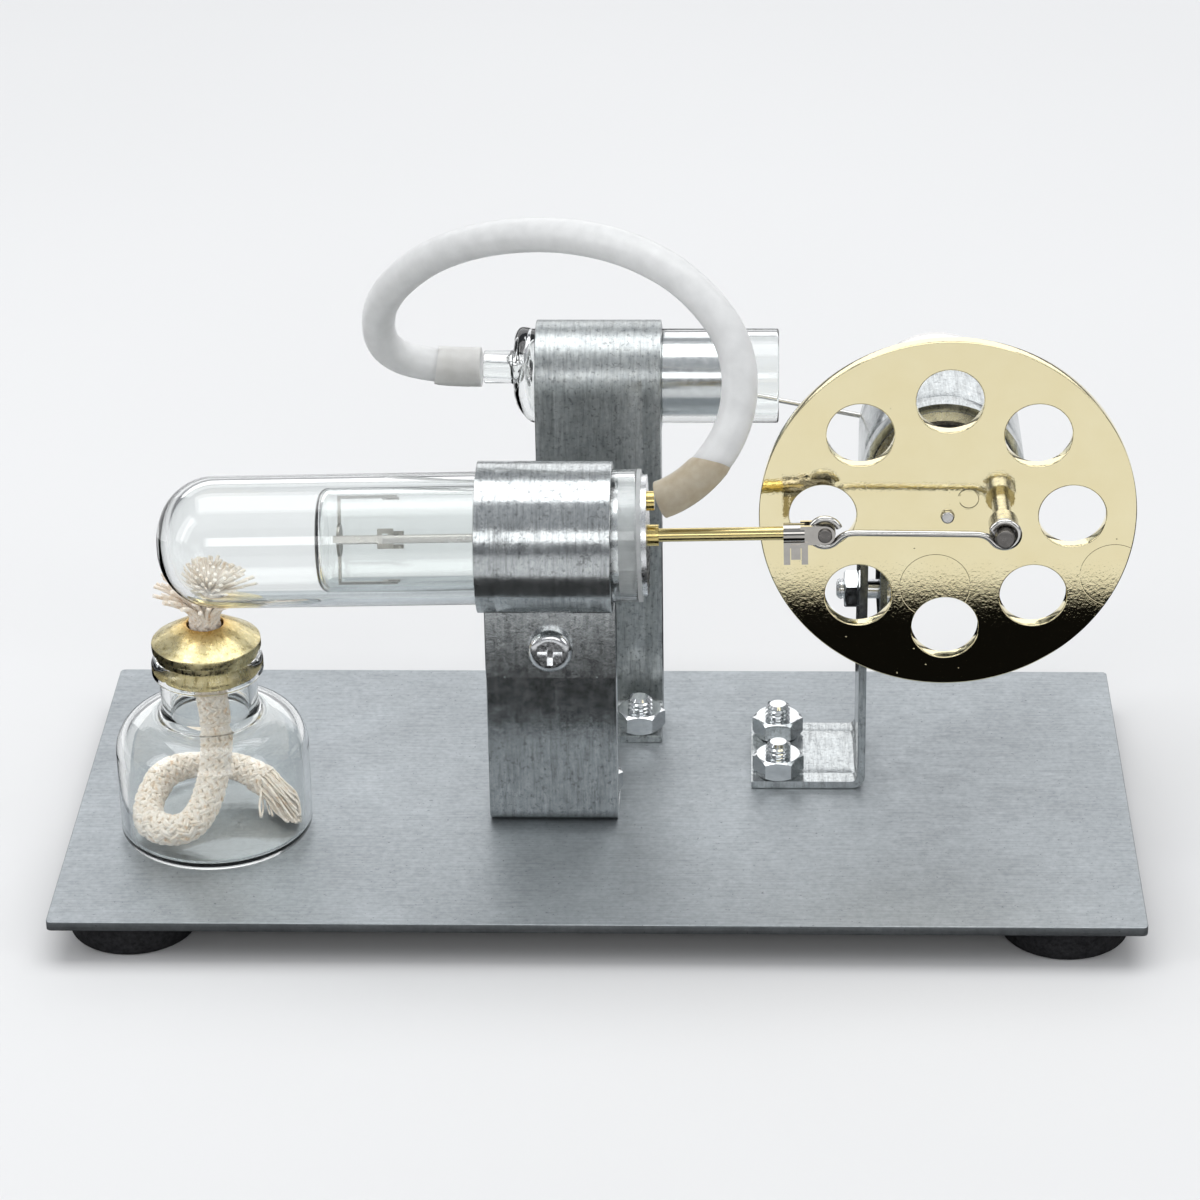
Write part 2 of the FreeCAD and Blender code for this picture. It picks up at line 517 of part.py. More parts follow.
# ---------------------------------------------------------------- flywheel, shaft, bearings
def flywheel():
    body = doc.addObject("PartDesign::Body", "Wheel")
    plane = [f for f in body.Origin.OriginFeatures if f.Role == "XZ_Plane"][0]

    def circle_sketch(name, circles):
        """circles: (x, y, diameter) expressions; zero offsets sit on the origin."""
        sketch = body.newObject("Sketcher::SketchObject", name)
        sketch.AttachmentSupport = [(plane, "")]
        sketch.MapMode = "FlatFace"
        for index, (across, up, dia) in enumerate(circles):
            sketch.addGeometry(Part.Circle(Vector(1 + index, 1, 0), Vector(0, 0, 1), 1.0), False)
            number = sketch.addConstraint(Sketcher.Constraint("Diameter", index, 2.0))
            sketch.setExpression(f"Constraints[{number}]", cells(dia))
            for kind, text, axis in (("DistanceX", across, -2), ("DistanceY", up, -1)):
                if text == 0:
                    sketch.addConstraint(Sketcher.Constraint("PointOnObject", index, 3, axis))
                else:
                    number = sketch.addConstraint(Sketcher.Constraint(kind, -1, 1, index, 3, 1.0))
                    sketch.setExpression(f"Constraints[{number}]", cells(text))
        doc.recompute()
        return sketch

    disc = body.newObject("PartDesign::Pad", "Disc")
    disc.Profile = circle_sketch("Rim", [(0, 0, "wheel_dia"), (0, 0, "spigot_dia")])
    bind(disc, Length="wheel_thick")
    doc.recompute()
    before = disc.Shape.Volume
    hole = body.newObject("PartDesign::Pocket", "RoundHole")
    hole.Profile = circle_sketch("Hole", [("hole_circle / 2", 0, "hole_dia")])
    hole.Type = 1
    hole.Midplane = True
    doc.recompute()
    if not hole.Shape.Volume < before - 1:
        raise RuntimeError("the flywheel's hole cuts nothing")
    pattern = body.newObject("PartDesign::PolarPattern", "EightHoles")
    pattern.Originals = [hole]
    axis = [f for f in body.Origin.OriginFeatures if f.Role == "Y_Axis"][0]
    pattern.Axis = (axis, [""])
    pattern.Angle = 360.0
    pattern.Occurrences = 8
    body.Tip = pattern
    doc.recompute()
    across, up = polar("crank_throw", "crank_angle")
    seat = body.newObject("PartDesign::Pocket", "PinSeat")
    seat.Profile = circle_sketch("Seat", [(across, up, "2.2")])
    seat.Type = 1
    seat.Midplane = True
    body.Tip = seat
    doc.recompute()
    rim = [f"Edge{n}" for n, edge in enumerate(seat.Shape.Edges, start=1)
           if isinstance(edge.Curve, Part.Circle)
           and abs(edge.Curve.Radius - size("wheel_dia") / 2) < 1e-4]
    bevel = body.newObject("PartDesign::Chamfer", "RimBevel")
    bevel.Base = (seat, rim)
    bevel.Size = 0.25
    body.Tip = bevel
    doc.recompute()
    # the sketch plane faces -Y, so the pad may run either way; measure and seat its front face
    front = body.Shape.BoundBox.YMin
    keep(body, "flywheel", x="shaft_x", y=f"wheel_front - ({front})", z="shaft_z")


def on_shaft(y):
    """Where a turned part sits whose local origin is at this Y on the shaft."""
    return {"x": "shaft_x", "y": y, "z": "shaft_z", "turn": AXIS["+y"]}


def bearings():
    back = "(wheel_front + wheel_thick)"
    keep(ring("hub_dia", "shaft_dia + fit / 2", "hub_long"), "flywheel_hub", **on_shaft(back))
    start = "(spigot_out + wheel_thick)"
    shaft = turned([(0, 0), (0, "spigot_dia"), (start, "spigot_dia"), (start, "shaft_dia"),
                    (f"{start} - {back} + shaft_back", "shaft_dia"),
                    (f"{start} - {back} + shaft_back", 0)], [(1, 0.25)])
    keep(shaft, "crankshaft", **on_shaft("wheel_front - spigot_out"))

    seat = "(bearing_inset + bearing_wide)"
    housing = turned([(0, "bearing_dia"), (0, "housing_dia"), ("housing_long", "housing_dia"),
                      ("housing_long", "bearing_dia"), (f"housing_long - {seat}", "bearing_dia"),
                      (f"housing_long - {seat}", "housing_lip"), (seat, "housing_lip"),
                      (seat, "bearing_dia")])
    keep(housing, "bearing_housing", **on_shaft("housing_front"))
    for name, at, cover_at in (("front", "housing_front + bearing_inset", "0"),
                               ("rear", f"housing_front + housing_long - {seat}",
                                "bearing_wide - 0.5")):
        keep(ring("bearing_dia", "outer_race", "bearing_wide"), f"{name}_bearing_outer", **on_shaft(at))
        keep(ring("inner_race", "shaft_dia", "bearing_wide"), f"{name}_bearing_inner", **on_shaft(at))
        balls = [ball("ball_dia", "bearing_wide / 2", f"ball_circle / 2 * cos({angle} deg)",
                      f"ball_circle / 2 * sin({angle} deg)") for angle in range(0, 360, 45)]
        keep(group(*balls), f"{name}_bearing_balls", **on_shaft(at))
        cover = ring("outer_race - 0.1", "inner_race + 0.2", "0.5", x=cover_at)
        keep(cover, f"{name}_bearing_cover", **on_shaft(at))


# ---------------------------------------------------------------- cranks and connecting rods
def wire_rod(wire, first_eye, second_eye, span):
    """A wire link along +X: a ring about Y at each end and a straight wire between them."""
    rings = []
    for eye, at in ((first_eye, "0"), (second_eye, span)):
        loop = doc.addObject("Part::Torus", "Eye")
        bind(loop, Radius1=f"({eye}) / 2", Radius2=f"{wire} / 2")
        rings.append(place(loop, x=at, turn=Rotation(Vector(1, 0, 0), 90)))
    # the shank is a little thinner than the rings, so the two meet in a clear edge
    shank = cylinder(f"{wire} * 0.92", f"{span} - ({first_eye} + {second_eye}) / 2",
                     x=f"({first_eye}) / 2")
    return fuse(*rings, shank)


def cranks():
    across, up = polar("crank_throw", "crank_angle")
    wire_face = "(hot_y + wire_dia / 2)"
    collar_front = f"({wire_face} + rod_gap)"
    face = f"(wheel_front - {collar_front})"
    stud = turned([(0, 0), (0, "collar_dia"), ("3.2", "collar_dia"), ("3.2", "neck_dia"),
                   (face, "neck_dia"), (face, "2.2"), (f"{face} + wheel_thick", "2.2"),
                   (f"{face} + wheel_thick", 0)], [(1, 0.3)])
    keep(stud, "front_crank_pin", x=f"shaft_x + {across}", y=collar_front, z=f"shaft_z + {up}",
         turn=AXIS["+y"])

    pin_x = size("shaft_x") + size("crank_throw") * math.cos(math.radians(size("crank_angle")))
    pin_z = size("shaft_z") + size("crank_throw") * math.sin(math.radians(size("crank_angle")))
    tilt = math.radians(size("hot_tilt"))
    clevis_x = size("hot_x") + size("pin_at") * math.cos(tilt)
    clevis_z = size("hot_z") + size("pin_at") * math.sin(tilt)
    span = math.hypot(pin_x - clevis_x, pin_z - clevis_z)
    slope = math.degrees(math.atan2(pin_z - clevis_z, pin_x - clevis_x))
    keep(wire_rod("wire_dia", "clevis_eye", "crank_eye", str(span)), "displacer_conrod",
         x=f"hot_x + pin_at * {COS_TILT}", y="hot_y", z=f"hot_z + pin_at * {SIN_TILT}",
         turn=Rotation(Vector(0, 1, 0), -slope))
    head = turned([(0, 0), (0, "eye_pin"), ("2.6", "eye_pin"), ("2.6", 0)], [(2, 0.35)])
    keep(head, "front_crank_screw", x=f"shaft_x + {across}", y=wire_face, z=f"shaft_z + {up}",
         turn=AXIS["-y"])

    # rear crank: disc on the shaft's end, stub, and the power piston's rod with its screw
    back_x, back_z = polar("back_throw", "back_angle")
    wire_front = "(power_y - back_wire / 2)"
    stub_end = f"({wire_front} - rod_gap)"
    disc = cylinder("back_disc_dia", "back_disc_thick")
    # local +X runs along the shaft and local -Y is world +X
    stub = cylinder("back_pin", f"{stub_end} - back_disc_front", y=f"0 - {back_x}", z=back_z)
    keep(cut(fuse(disc, stub), cylinder("shaft_dia + fit / 2", "back_disc_thick")), "rear_crank_disc",
         **on_shaft("back_disc_front"))
    end_x = size("shaft_x") + size("back_throw") * math.cos(math.radians(size("back_angle")))
    end_z = size("shaft_z") + size("back_throw") * math.sin(math.radians(size("back_angle")))
    wrist_x = size("power_x") + size("wrist_at")
    span = math.hypot(end_x - wrist_x, end_z - size("power_z"))
    slope = math.degrees(math.atan2(end_z - size("power_z"), end_x - wrist_x))
    keep(wire_rod("back_wire", "wrist_dia + back_wire + 0.1", "back_eye", str(span)), "power_conrod",
         x="power_x + wrist_at", y="power_y", z="power_z", turn=Rotation(Vector(0, 1, 0), -slope))
    head = turned([(0, 0), (0, "back_pin"), ("1.4", "back_pin"), ("1.4", "3.4"), ("2.4", "3.4"),
                   ("2.4", 0)], [(4, 0.3)])
    keep(head, "rear_crank_screw", x=f"shaft_x + {back_x}", y=wire_front, z=f"shaft_z + {back_z}",
         turn=AXIS["+y"])


# ---------------------------------------------------------------- flexible round parts
def cord(label, points, dia):
    """A round flexible part: straight runs joined by tangent arcs as large as the runs allow."""
    spots = [Vector(*point) for point in points]
    edges, last, length, radii = [], spots[0], 0.0, []
    for before, corner, after in zip(spots, spots[1:], spots[2:]):
        into, out = (corner - before), (after - corner)
        half_turn = into.getAngle(out) / 2
        tangent = 0.45 * min(into.Length, out.Length)
        radius = tangent / math.tan(half_turn)
        start = corner - into.normalize() * tangent
        end = corner + out.normalize() * tangent
        inward = ((start + end) * 0.5 - corner).normalize()
        middle = corner + inward * (radius / math.cos(half_turn) - radius)
        edges.append(Part.LineSegment(last, start).toShape())
        edges.append(Part.Arc(start, middle, end).toShape())
        radii.append(round(radius, 1))
        last = end
    edges.append(Part.LineSegment(last, spots[-1]).toShape())
    path = Part.Wire(edges)
    first = spots[1] - spots[0]
    section = Part.Wire(Part.Circle(spots[0], first, dia / 2).toShape())
    tube = path.makePipeShell([section], True, False)
    length = path.Length
    expected = math.pi * dia * dia / 4 * length
    print(label, "length", round(length, 1), "radii", radii,
          "volume ratio", round(tube.Volume / expected, 4))
    piece = doc.addObject("Part::Feature", "Cord")
    piece.Shape = tube
    piece.Placement = Placement()
    return keep(piece, label)


HOSE_ROUTE = [(9.9, -22.3, 67.1), (14.4, -22.65, 68.9), (21.3, -18.45, 77.0), (21.6, -13.25, 87.5),
              (14.6, -7.45, 95.0), (5.8, -1.35, 98.0), (-3.6, 4.85, 97.9), (-12.7, 11.05, 95.6),
              (-21.3, 17.05, 91.7), (-29.2, 22.75, 85.8), (-35.6, 28.05, 77.2), (-35.6, 32.95, 67.2),
              (-27.2, 34.15, 63.9), (-19.8, 33.95, 64.1)]
WICK_ROUTE = [(-59.5, -13.85, 46.0), (-59.5, -13.85, 32.5), (-58.7, -13.65, 26.0), (-58.9, -16.25, 17.5),
              (-61.7, -22.05, 11.6), (-67.4, -21.75, 10.9), (-70.4, -16.25, 11.5), (-68.9, -9.25, 13.6),
              (-63.9, -4.65, 13.9), (-57.3, -3.95, 13.1), (-51.9, -7.85, 11.5)]


def burner():
    outer = turned([(0, 0), (0, "bottle_dia"), ("bottle_shoulder", "bottle_dia"),
                    ("bottle_shoulder", "neck_out"), ("neck_top", "neck_out"),
                    ("neck_top", "bead_dia"), ("mouth_top", "bead_dia"), ("mouth_top", 0)],
                   [(1, 2.2), (2, 5.6), (3, 1.6), (5, 0.8), (6, 1.2)])
    inside = "(bottle_dia - 2 * bottle_wall)"
    inner_top = "(bottle_shoulder - bottle_wall)"
    inner = turned([("bottle_wall", 0), ("bottle_wall", inside), (inner_top, inside),
                    (inner_top, "mouth_bore"), ("mouth_top", "mouth_bore"), ("mouth_top", 0)],
                   [(1, 1.2), (2, 4.6)])
    stand = {"x": "burner_x", "y": "burner_y", "z": PLATE_TOP, "turn": AXIS["+z"]}
    keep(cut(outer, inner), "burner_bottle", **stand)
    rim = "(mouth_top + cap_step)"
    dome = f"({rim} + cap_rim)"
    cap = turned([("mouth_top - cap_plug", "wick_hole"), ("mouth_top - cap_plug", "mouth_bore - 0.3"),
                  ("mouth_top", "mouth_bore - 0.3"), ("mouth_top", "cap_collar"), (rim, "cap_collar"),
                  (rim, "cap_dia"), (dome, "cap_dia"), (f"{dome} + cap_rise * 0.7", "cap_dia * 0.6"),
                  (f"{dome} + cap_rise", "wick_hole")], [(5, 0.4), (6, 0.4), (7, 6.0)])
    keep(cap, "burner_cap", **stand)
    cord("wick", WICK_ROUTE, size("wick_dia"))
    brush = turned([(0, 0), (0, "wick_dia"), ("fray_high", "fray_dia"), ("fray_high", 0)], [(2, 0.8)])
    place(brush, "burner_x", "burner_y", "fray_from", AXIS["+z"])
    tube_room = cylinder("tube_dia + 2 * fray_gap", "2 * fray_dia")
    place(tube_room, **on_hot_axis("0 - tube_left - 3", Rotation(Vector(0, 1, 0), 90)))
    keep(cut(brush, tube_room), "wick_fray")


bracket("hot", size("tube_dia"), Vector(size("hot_x"), size("hot_y"), size("hot_z")),
        Vector(0, -1, 0), foot=15.0, bolts_at=8.6, tab_end=27.7, clamp_at=22.7, tab_gap=0.2)
bracket("power", size("power_dia"), Vector(size("power_x"), size("power_y"), size("power_z")),
        Vector(0, 1, 0), foot=11.6, bolts_at=8.0, tab_end=26.4, clamp_at=22.0, tab_gap=0.2)
bracket("bearing", size("housing_dia"),
        Vector(size("shaft_x"), size("strap_front") + size("strip_wide") / 2, size("shaft_z")),
        Vector(1, 0, 0), foot=17.2, bolts_at=13.0, tab_end=27.6, clamp_at=23.4, tab_gap=1.8)
base_plate()
feet()
hot_cylinder()
cold_end()
displacer()
power_side()
flywheel()
bearings()
cranks()
burner()
cord("air_hose", HOSE_ROUTE, size("hose_dia"))
doc.recompute()

# ---------------------------------------------------------------- checks and files
for obj in doc.Objects:
    if {"Invalid", "Error"} & set(obj.State):
        raise RuntimeError(f"{obj.Name} ({obj.Label}) failed: {obj.State}")
labels = [part.Label for part in PARTS]
if len(set(labels)) != len(labels):
    raise RuntimeError("two sub-parts share a label")
for part in PARTS:
    if part.Shape.isNull() or not part.Shape.isValid() or part.Shape.Volume <= 0:
        raise RuntimeError(f"{part.Label} has no valid solid")
for part in PARTS:
    part.Shape.exportStep(f"parts/{part.Label}.step")
print(len(PARTS), "parts written")
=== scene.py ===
import math
import random

import bmesh
import bpy
from mathutils import Matrix, Vector


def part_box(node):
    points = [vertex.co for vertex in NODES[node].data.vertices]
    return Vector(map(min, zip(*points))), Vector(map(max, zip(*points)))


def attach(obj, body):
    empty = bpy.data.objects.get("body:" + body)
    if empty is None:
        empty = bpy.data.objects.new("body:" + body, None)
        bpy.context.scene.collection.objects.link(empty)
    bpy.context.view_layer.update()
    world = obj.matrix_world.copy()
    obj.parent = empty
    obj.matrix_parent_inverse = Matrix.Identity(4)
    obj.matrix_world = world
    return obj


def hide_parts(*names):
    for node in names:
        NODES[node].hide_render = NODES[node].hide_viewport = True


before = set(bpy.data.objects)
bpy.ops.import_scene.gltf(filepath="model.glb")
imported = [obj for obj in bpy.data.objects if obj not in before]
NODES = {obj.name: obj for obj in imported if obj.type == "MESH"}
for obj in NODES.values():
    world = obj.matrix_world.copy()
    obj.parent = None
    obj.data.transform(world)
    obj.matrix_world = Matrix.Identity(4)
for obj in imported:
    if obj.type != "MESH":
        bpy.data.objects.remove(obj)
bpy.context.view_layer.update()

MM = 0.001
DRAW = random.Random(11)
UP = Vector((0, 0, 1))
GOLDEN_ANGLE = 2.39996  # in radians: spreads points evenly over a disc


# -------- camera
CAMERA_AT = Vector((23.11, -563.50, 320.02)) * MM
CAMERA_PAN, CAMERA_TILT, CAMERA_ROLL = (math.radians(a) for a in (2.36, 26.439, -0.927))
CAMERA_LENS = 122.46


def camera():
    ahead = Vector((-math.sin(CAMERA_PAN) * math.cos(CAMERA_TILT),
                    math.cos(CAMERA_PAN) * math.cos(CAMERA_TILT), -math.sin(CAMERA_TILT)))
    level = Vector((math.cos(CAMERA_PAN), math.sin(CAMERA_PAN), 0))
    above = level.cross(ahead)
    right = level * math.cos(CAMERA_ROLL) + above * math.sin(CAMERA_ROLL)
    up = above * math.cos(CAMERA_ROLL) - level * math.sin(CAMERA_ROLL)
    data = bpy.data.cameras.new("camera")
    data.lens, data.sensor_width = CAMERA_LENS, 36.0
    data.clip_start, data.clip_end = 0.01, 20.0
    eye = bpy.data.objects.new("camera", data)
    eye.matrix_world = Matrix.Translation(CAMERA_AT) @ Matrix((right, up, -ahead)).transposed().to_4x4()
    bpy.context.scene.collection.objects.link(eye)
    bpy.context.scene.camera = eye


# -------- routes, in mm
HOSE_ROUTE = [(9.9, -22.3, 67.1), (14.4, -22.65, 68.9), (21.3, -18.45, 77.0), (21.6, -13.25, 87.5),
              (14.6, -7.45, 95.0), (5.8, -1.35, 98.0), (-3.6, 4.85, 97.9), (-12.7, 11.05, 95.6),
              (-21.3, 17.05, 91.7), (-29.2, 22.75, 85.8), (-35.6, 28.05, 77.2), (-35.6, 32.95, 67.2),
              (-27.2, 34.15, 63.9), (-19.8, 33.95, 64.1)]
HOSE_DIAMETER = 5.3 * MM
WICK_ROUTE = [(-59.5, -13.85, 46.0), (-59.5, -13.85, 32.5), (-58.7, -13.65, 26.0),
              (-58.9, -16.25, 17.5), (-61.7, -22.05, 11.6), (-67.4, -21.75, 10.9),
              (-70.4, -16.25, 11.5), (-68.9, -9.25, 13.6), (-63.9, -4.65, 13.9),
              (-57.3, -3.95, 13.1), (-51.9, -7.85, 11.5)]


# -------- shader helpers
WAVE_SCALE = 0.314  # a wave texture's scale times the distance between its bands


class Shader:
    """A Principled material and the few texture nodes that the finishes share."""

    def __init__(self, name, **sockets):
        self.material = bpy.data.materials.new(name)
        self.material.use_nodes = True
        self.tree = self.material.node_tree
        self.bsdf = self.tree.nodes["Principled BSDF"]
        for socket, value in sockets.items():
            self.bsdf.inputs[socket.replace("_", " ")].default_value = value
        self.place = self.tree.nodes.new("ShaderNodeTexCoord").outputs["Object"]

    def add(self, kind, **settings):
        node = self.tree.nodes.new("ShaderNode" + kind)
        for name, value in settings.items():
            setattr(node, name, value)
        return node

    def link(self, source, target):
        self.tree.links.new(source, target)

    def noise(self, size, detail=3.0, rough=0.55, stretch=(1, 1, 1)):
        """Noise whose features are about `size` metres across, longer along a stretched axis."""
        mapping = self.add("Mapping", vector_type="TEXTURE")
        mapping.inputs["Scale"].default_value = [size * s for s in stretch]
        self.link(self.place, mapping.inputs["Vector"])
        node = self.add("TexNoise")
        node.inputs["Scale"].default_value = 1.0
        node.inputs["Detail"].default_value = detail
        node.inputs["Roughness"].default_value = rough
        self.link(mapping.outputs["Vector"], node.inputs["Vector"])
        return node.outputs["Fac"]

    def cells(self, size):
        """Distance from the nearest of many scattered points, `size` metres apart."""
        mapping = self.add("Mapping", vector_type="TEXTURE")
        mapping.inputs["Scale"].default_value = (size, size, size)
        self.link(self.place, mapping.inputs["Vector"])
        node = self.add("TexVoronoi", feature="F1")
        node.inputs["Scale"].default_value = 1.0
        self.link(mapping.outputs["Vector"], node.inputs["Vector"])
        return node.outputs["Distance"]

    def bands(self, size, axis, distortion):
        """Parallel bands across one axis, `size` metres from one to the next."""
        node = self.add("TexWave", wave_type="BANDS", bands_direction=axis)
        node.inputs["Scale"].default_value = WAVE_SCALE / size
        node.inputs["Distortion"].default_value = distortion
        self.link(self.place, node.inputs["Vector"])
        return node.outputs["Fac"]

    def ramp(self, value, *stops):
        """Colours or greys over a value: each stop is (position, colour)."""
        node = self.add("ValToRGB")
        ladder = node.color_ramp.elements
        while len(ladder) < len(stops):
            ladder.new(0.5)
        for element, (position, colour) in zip(ladder, stops):
            element.position = position
            colour = (colour,) * 3 if isinstance(colour, (int, float)) else colour
            element.color = (*colour, 1.0)
        self.link(value, node.inputs["Fac"])
        return node.outputs["Color"]

    def away_from(self, spot, mask):
        """Distance from a point in metres, along the axes that the mask keeps."""
        flat = self.add("VectorMath", operation="MULTIPLY")
        flat.inputs[1].default_value = mask
        self.link(self.place, flat.inputs[0])
        far = self.add("VectorMath", operation="DISTANCE")
        far.inputs[1].default_value = [c * m for c, m in zip(spot, mask)]
        self.link(flat.outputs["Vector"], far.inputs[0])
        return far.outputs["Value"]

    def between(self, value, low, high):
        """A length mapped so that low becomes 0 and high becomes 1."""
        node = self.add("MapRange")
        node.inputs["From Min"].default_value = low
        node.inputs["From Max"].default_value = high
        self.link(value, node.inputs["Value"])
        return node.outputs["Result"]

    def join(self, first, second):
        """One colour multiplied by another."""
        node = self.add("Mix", data_type="RGBA", blend_type="MULTIPLY")
        node.inputs["Factor"].default_value = 1.0
        self.link(first, node.inputs[6])
        self.link(second, node.inputs[7])
        return node.outputs[2]

    def bump(self, height, depth, strength=1.0):
        """Relief of up to `depth` metres; several calls stack."""
        node = self.add("Bump")
        node.inputs["Strength"].default_value = strength
        node.inputs["Distance"].default_value = depth
        self.link(height, node.inputs["Height"])
        if self.bsdf.inputs["Normal"].links:
            self.link(self.bsdf.inputs["Normal"].links[0].from_socket, node.inputs["Normal"])
        self.link(node.outputs["Normal"], self.bsdf.inputs["Normal"])

    def scatter_evenly(self):
        """Scattered light keeps its colour."""
        self.bsdf.inputs["Subsurface Radius"].default_value = (1.0, 1.0, 1.0)

    def drive(self, socket, value):
        self.link(value, self.bsdf.inputs[socket])

    def mottle(self, size, detail, dark, light, rough=0.55):
        """A base colour that wanders between two colours over `size` mm."""
        wander = self.noise(size * MM, detail, rough)
        self.drive("Base Color", self.ramp(wander, (0.3, dark), (0.7, light)))

    def darken(self, layer):
        """Multiply the base colour by a layer."""
        base = self.bsdf.inputs["Base Color"].links[0].from_socket
        self.drive("Base Color", self.join(base, layer))

    def let_lamps_through(self, tint):
        """Glass that casts only a faint shadow on what is inside it."""
        rays = self.add("LightPath")
        clear = self.add("BsdfTransparent")
        clear.inputs["Color"].default_value = (*tint, 1.0)
        mix = self.add("MixShader")
        self.link(rays.outputs["Is Shadow Ray"], mix.inputs["Fac"])
        self.link(self.bsdf.outputs["BSDF"], mix.inputs[1])
        self.link(clear.outputs["BSDF"], mix.inputs[2])
        self.link(mix.outputs["Shader"], self.tree.nodes["Material Output"].inputs["Surface"])


# -------- finishes
def galvanised(name, light, dark, streak, rough):
    """Zinc-coated sheet: faint crystal mottle, rolling streaks along one axis, specks and scuffs."""
    s = Shader(name, Metallic=0.92)
    mottle = s.ramp(s.noise(0.9 * MM, 5.0, 0.62), (0.32, dark), (0.68, light))
    cloud = s.ramp(s.noise(14 * MM, 3.0, 0.5), (0.3, 0.84), (0.7, 1.0))
    lines = s.ramp(s.noise(0.28 * MM, 3.0, 0.6, streak), (0.34, 0.86), (0.6, 1.0))
    specks = s.ramp(s.noise(0.55 * MM, 2.0, 0.7), (0.27, 0.55), (0.33, 1.0))
    s.drive("Base Color", s.join(s.join(mottle, cloud), s.join(lines, specks)))
    s.drive("Roughness", s.ramp(s.noise(2.4 * MM, 4.0, 0.6), (0.25, rough), (0.75, rough + 0.14)))
    s.bump(s.noise(0.3 * MM, 3.0, 0.6, streak), 0.006 * MM, 0.7)
    s.bump(s.noise(0.5 * MM, 4.0, 0.7), 0.008 * MM, 0.6)
    return s


def polished(name, colour, rough, peel=0.5, depth=0.0015):
    """Smooth plated metal with a slight orange peel and a little unevenness in its gloss."""
    s = Shader(name, Metallic=1.0)
    s.mottle(1.2, 3.0, [c * 0.9 for c in colour], colour)
    s.drive("Roughness", s.ramp(s.noise(0.8 * MM, 3.0), (0.3, rough * 0.7), (0.7, rough * 1.5)))
    s.bump(s.noise(peel * MM, 2.0), depth * MM)
    return s


def turned_metal(name, colour, rough, axis="X", pitch=0.12):
    """Lathe-turned metal: fine tool rings across its own axis."""
    s = polished(name, colour, rough)
    s.bump(s.bands(pitch * MM, axis, 0.3), 0.002 * MM, 0.6)
    return s


def clear_glass(name, wave=0.004):
    """Clear glass with the slight waviness of drawn and blown tube."""
    s = Shader(name, Roughness=0.0, IOR=1.47, Transmission_Weight=1.0, Metallic=0.0)
    colour = (0.97, 0.985, 0.98)
    s.mottle(6, 2.0, [c * 0.985 for c in colour], colour)
    s.bump(s.noise(5 * MM, 2.0, 0.4, (2.0, 1, 1)), wave * MM, 0.5)
    s.let_lamps_through((0.93, 0.94, 0.94))
    return s


def silicone(name, rough, dark, light, cloud=1.6, detail=4.0, relief=0.01, **sockets):
    """Silicone rubber: translucent, with light spreading inside it."""
    s = Shader(name, Roughness=rough, IOR=1.41, Subsurface_Weight=0.75, **sockets)
    s.scatter_evenly()
    s.mottle(cloud, detail, dark, light)
    s.bump(s.noise(0.5 * MM, 3.0), relief * MM, 0.5)
    return s


def base_zinc():
    """The base plate's zinc, with small dark marks."""
    s = galvanised("base_sheet_zinc", (0.50, 0.53, 0.55), (0.40, 0.43, 0.45), (30, 1, 1), 0.40)
    s.darken(s.ramp(s.noise(3.2 * MM, 6.0, 0.75, (2.4, 1, 1)), (0.24, 0.55), (0.31, 1.0)))
    return s


def strip_zinc(name, light, dark, rough):
    """The brackets' zinc: rolling streaks along the strip and round its loop, and a grain."""
    s = galvanised(name, light, dark, (1, 14, 14), rough)
    rolled = s.noise(0.5 * MM, 4.0, 0.65, (1, 10, 10))
    streaks = s.ramp(rolled, (0.34, 0.68), (0.5, 0.92), (0.68, 1.0))
    grain = s.ramp(s.noise(0.7 * MM, 4.0, 0.7), (0.36, 0.62), (0.44, 1.0))
    s.darken(s.join(streaks, grain))
    s.bump(rolled, 0.014 * MM, 0.8)
    s.bump(s.noise(0.7 * MM, 3.0, 0.6), 0.016 * MM, 0.8)
    return s


def ring_mark(s, x, z, radius, width, depth):
    """A fine circular scratch on the wheel's face, as a bump. Lengths in mm."""
    far = s.away_from(Vector((x, 0, z)) * MM, (1, 0, 1))
    line = s.ramp(s.between(far, (radius - width) * MM, (radius + width) * MM),
                  (0.0, 1.0), (0.35, 0.0), (0.65, 0.0), (1.0, 1.0))
    s.bump(line, depth * MM)


def gold_plate():
    """Mirror gold over a faint orange peel, with a few pits and ring-shaped scratches."""
    s = Shader("gold_plate", Metallic=1.0)
    s.mottle(7, 3.0, (0.86, 0.76, 0.47), (0.89, 0.80, 0.52))
    s.drive("Roughness", s.ramp(s.noise(1.6 * MM, 4.0), (0.3, 0.02), (0.75, 0.045)))
    s.bump(s.noise(0.42 * MM, 2.0, 0.6), 0.009 * MM)
    s.bump(s.ramp(s.cells(3.6 * MM), (0.0, 0.0), (0.04, 1.0)), 0.03 * MM, 0.8)
    ring_mark(s, 55.4, 63.4, 1.55, 0.16, 0.02)
    ring_mark(s, 50.7, 49.0, 5.2, 0.1, 0.006)
    ring_mark(s, 77.3, 50.9, 5.0, 0.1, 0.006)
    return s


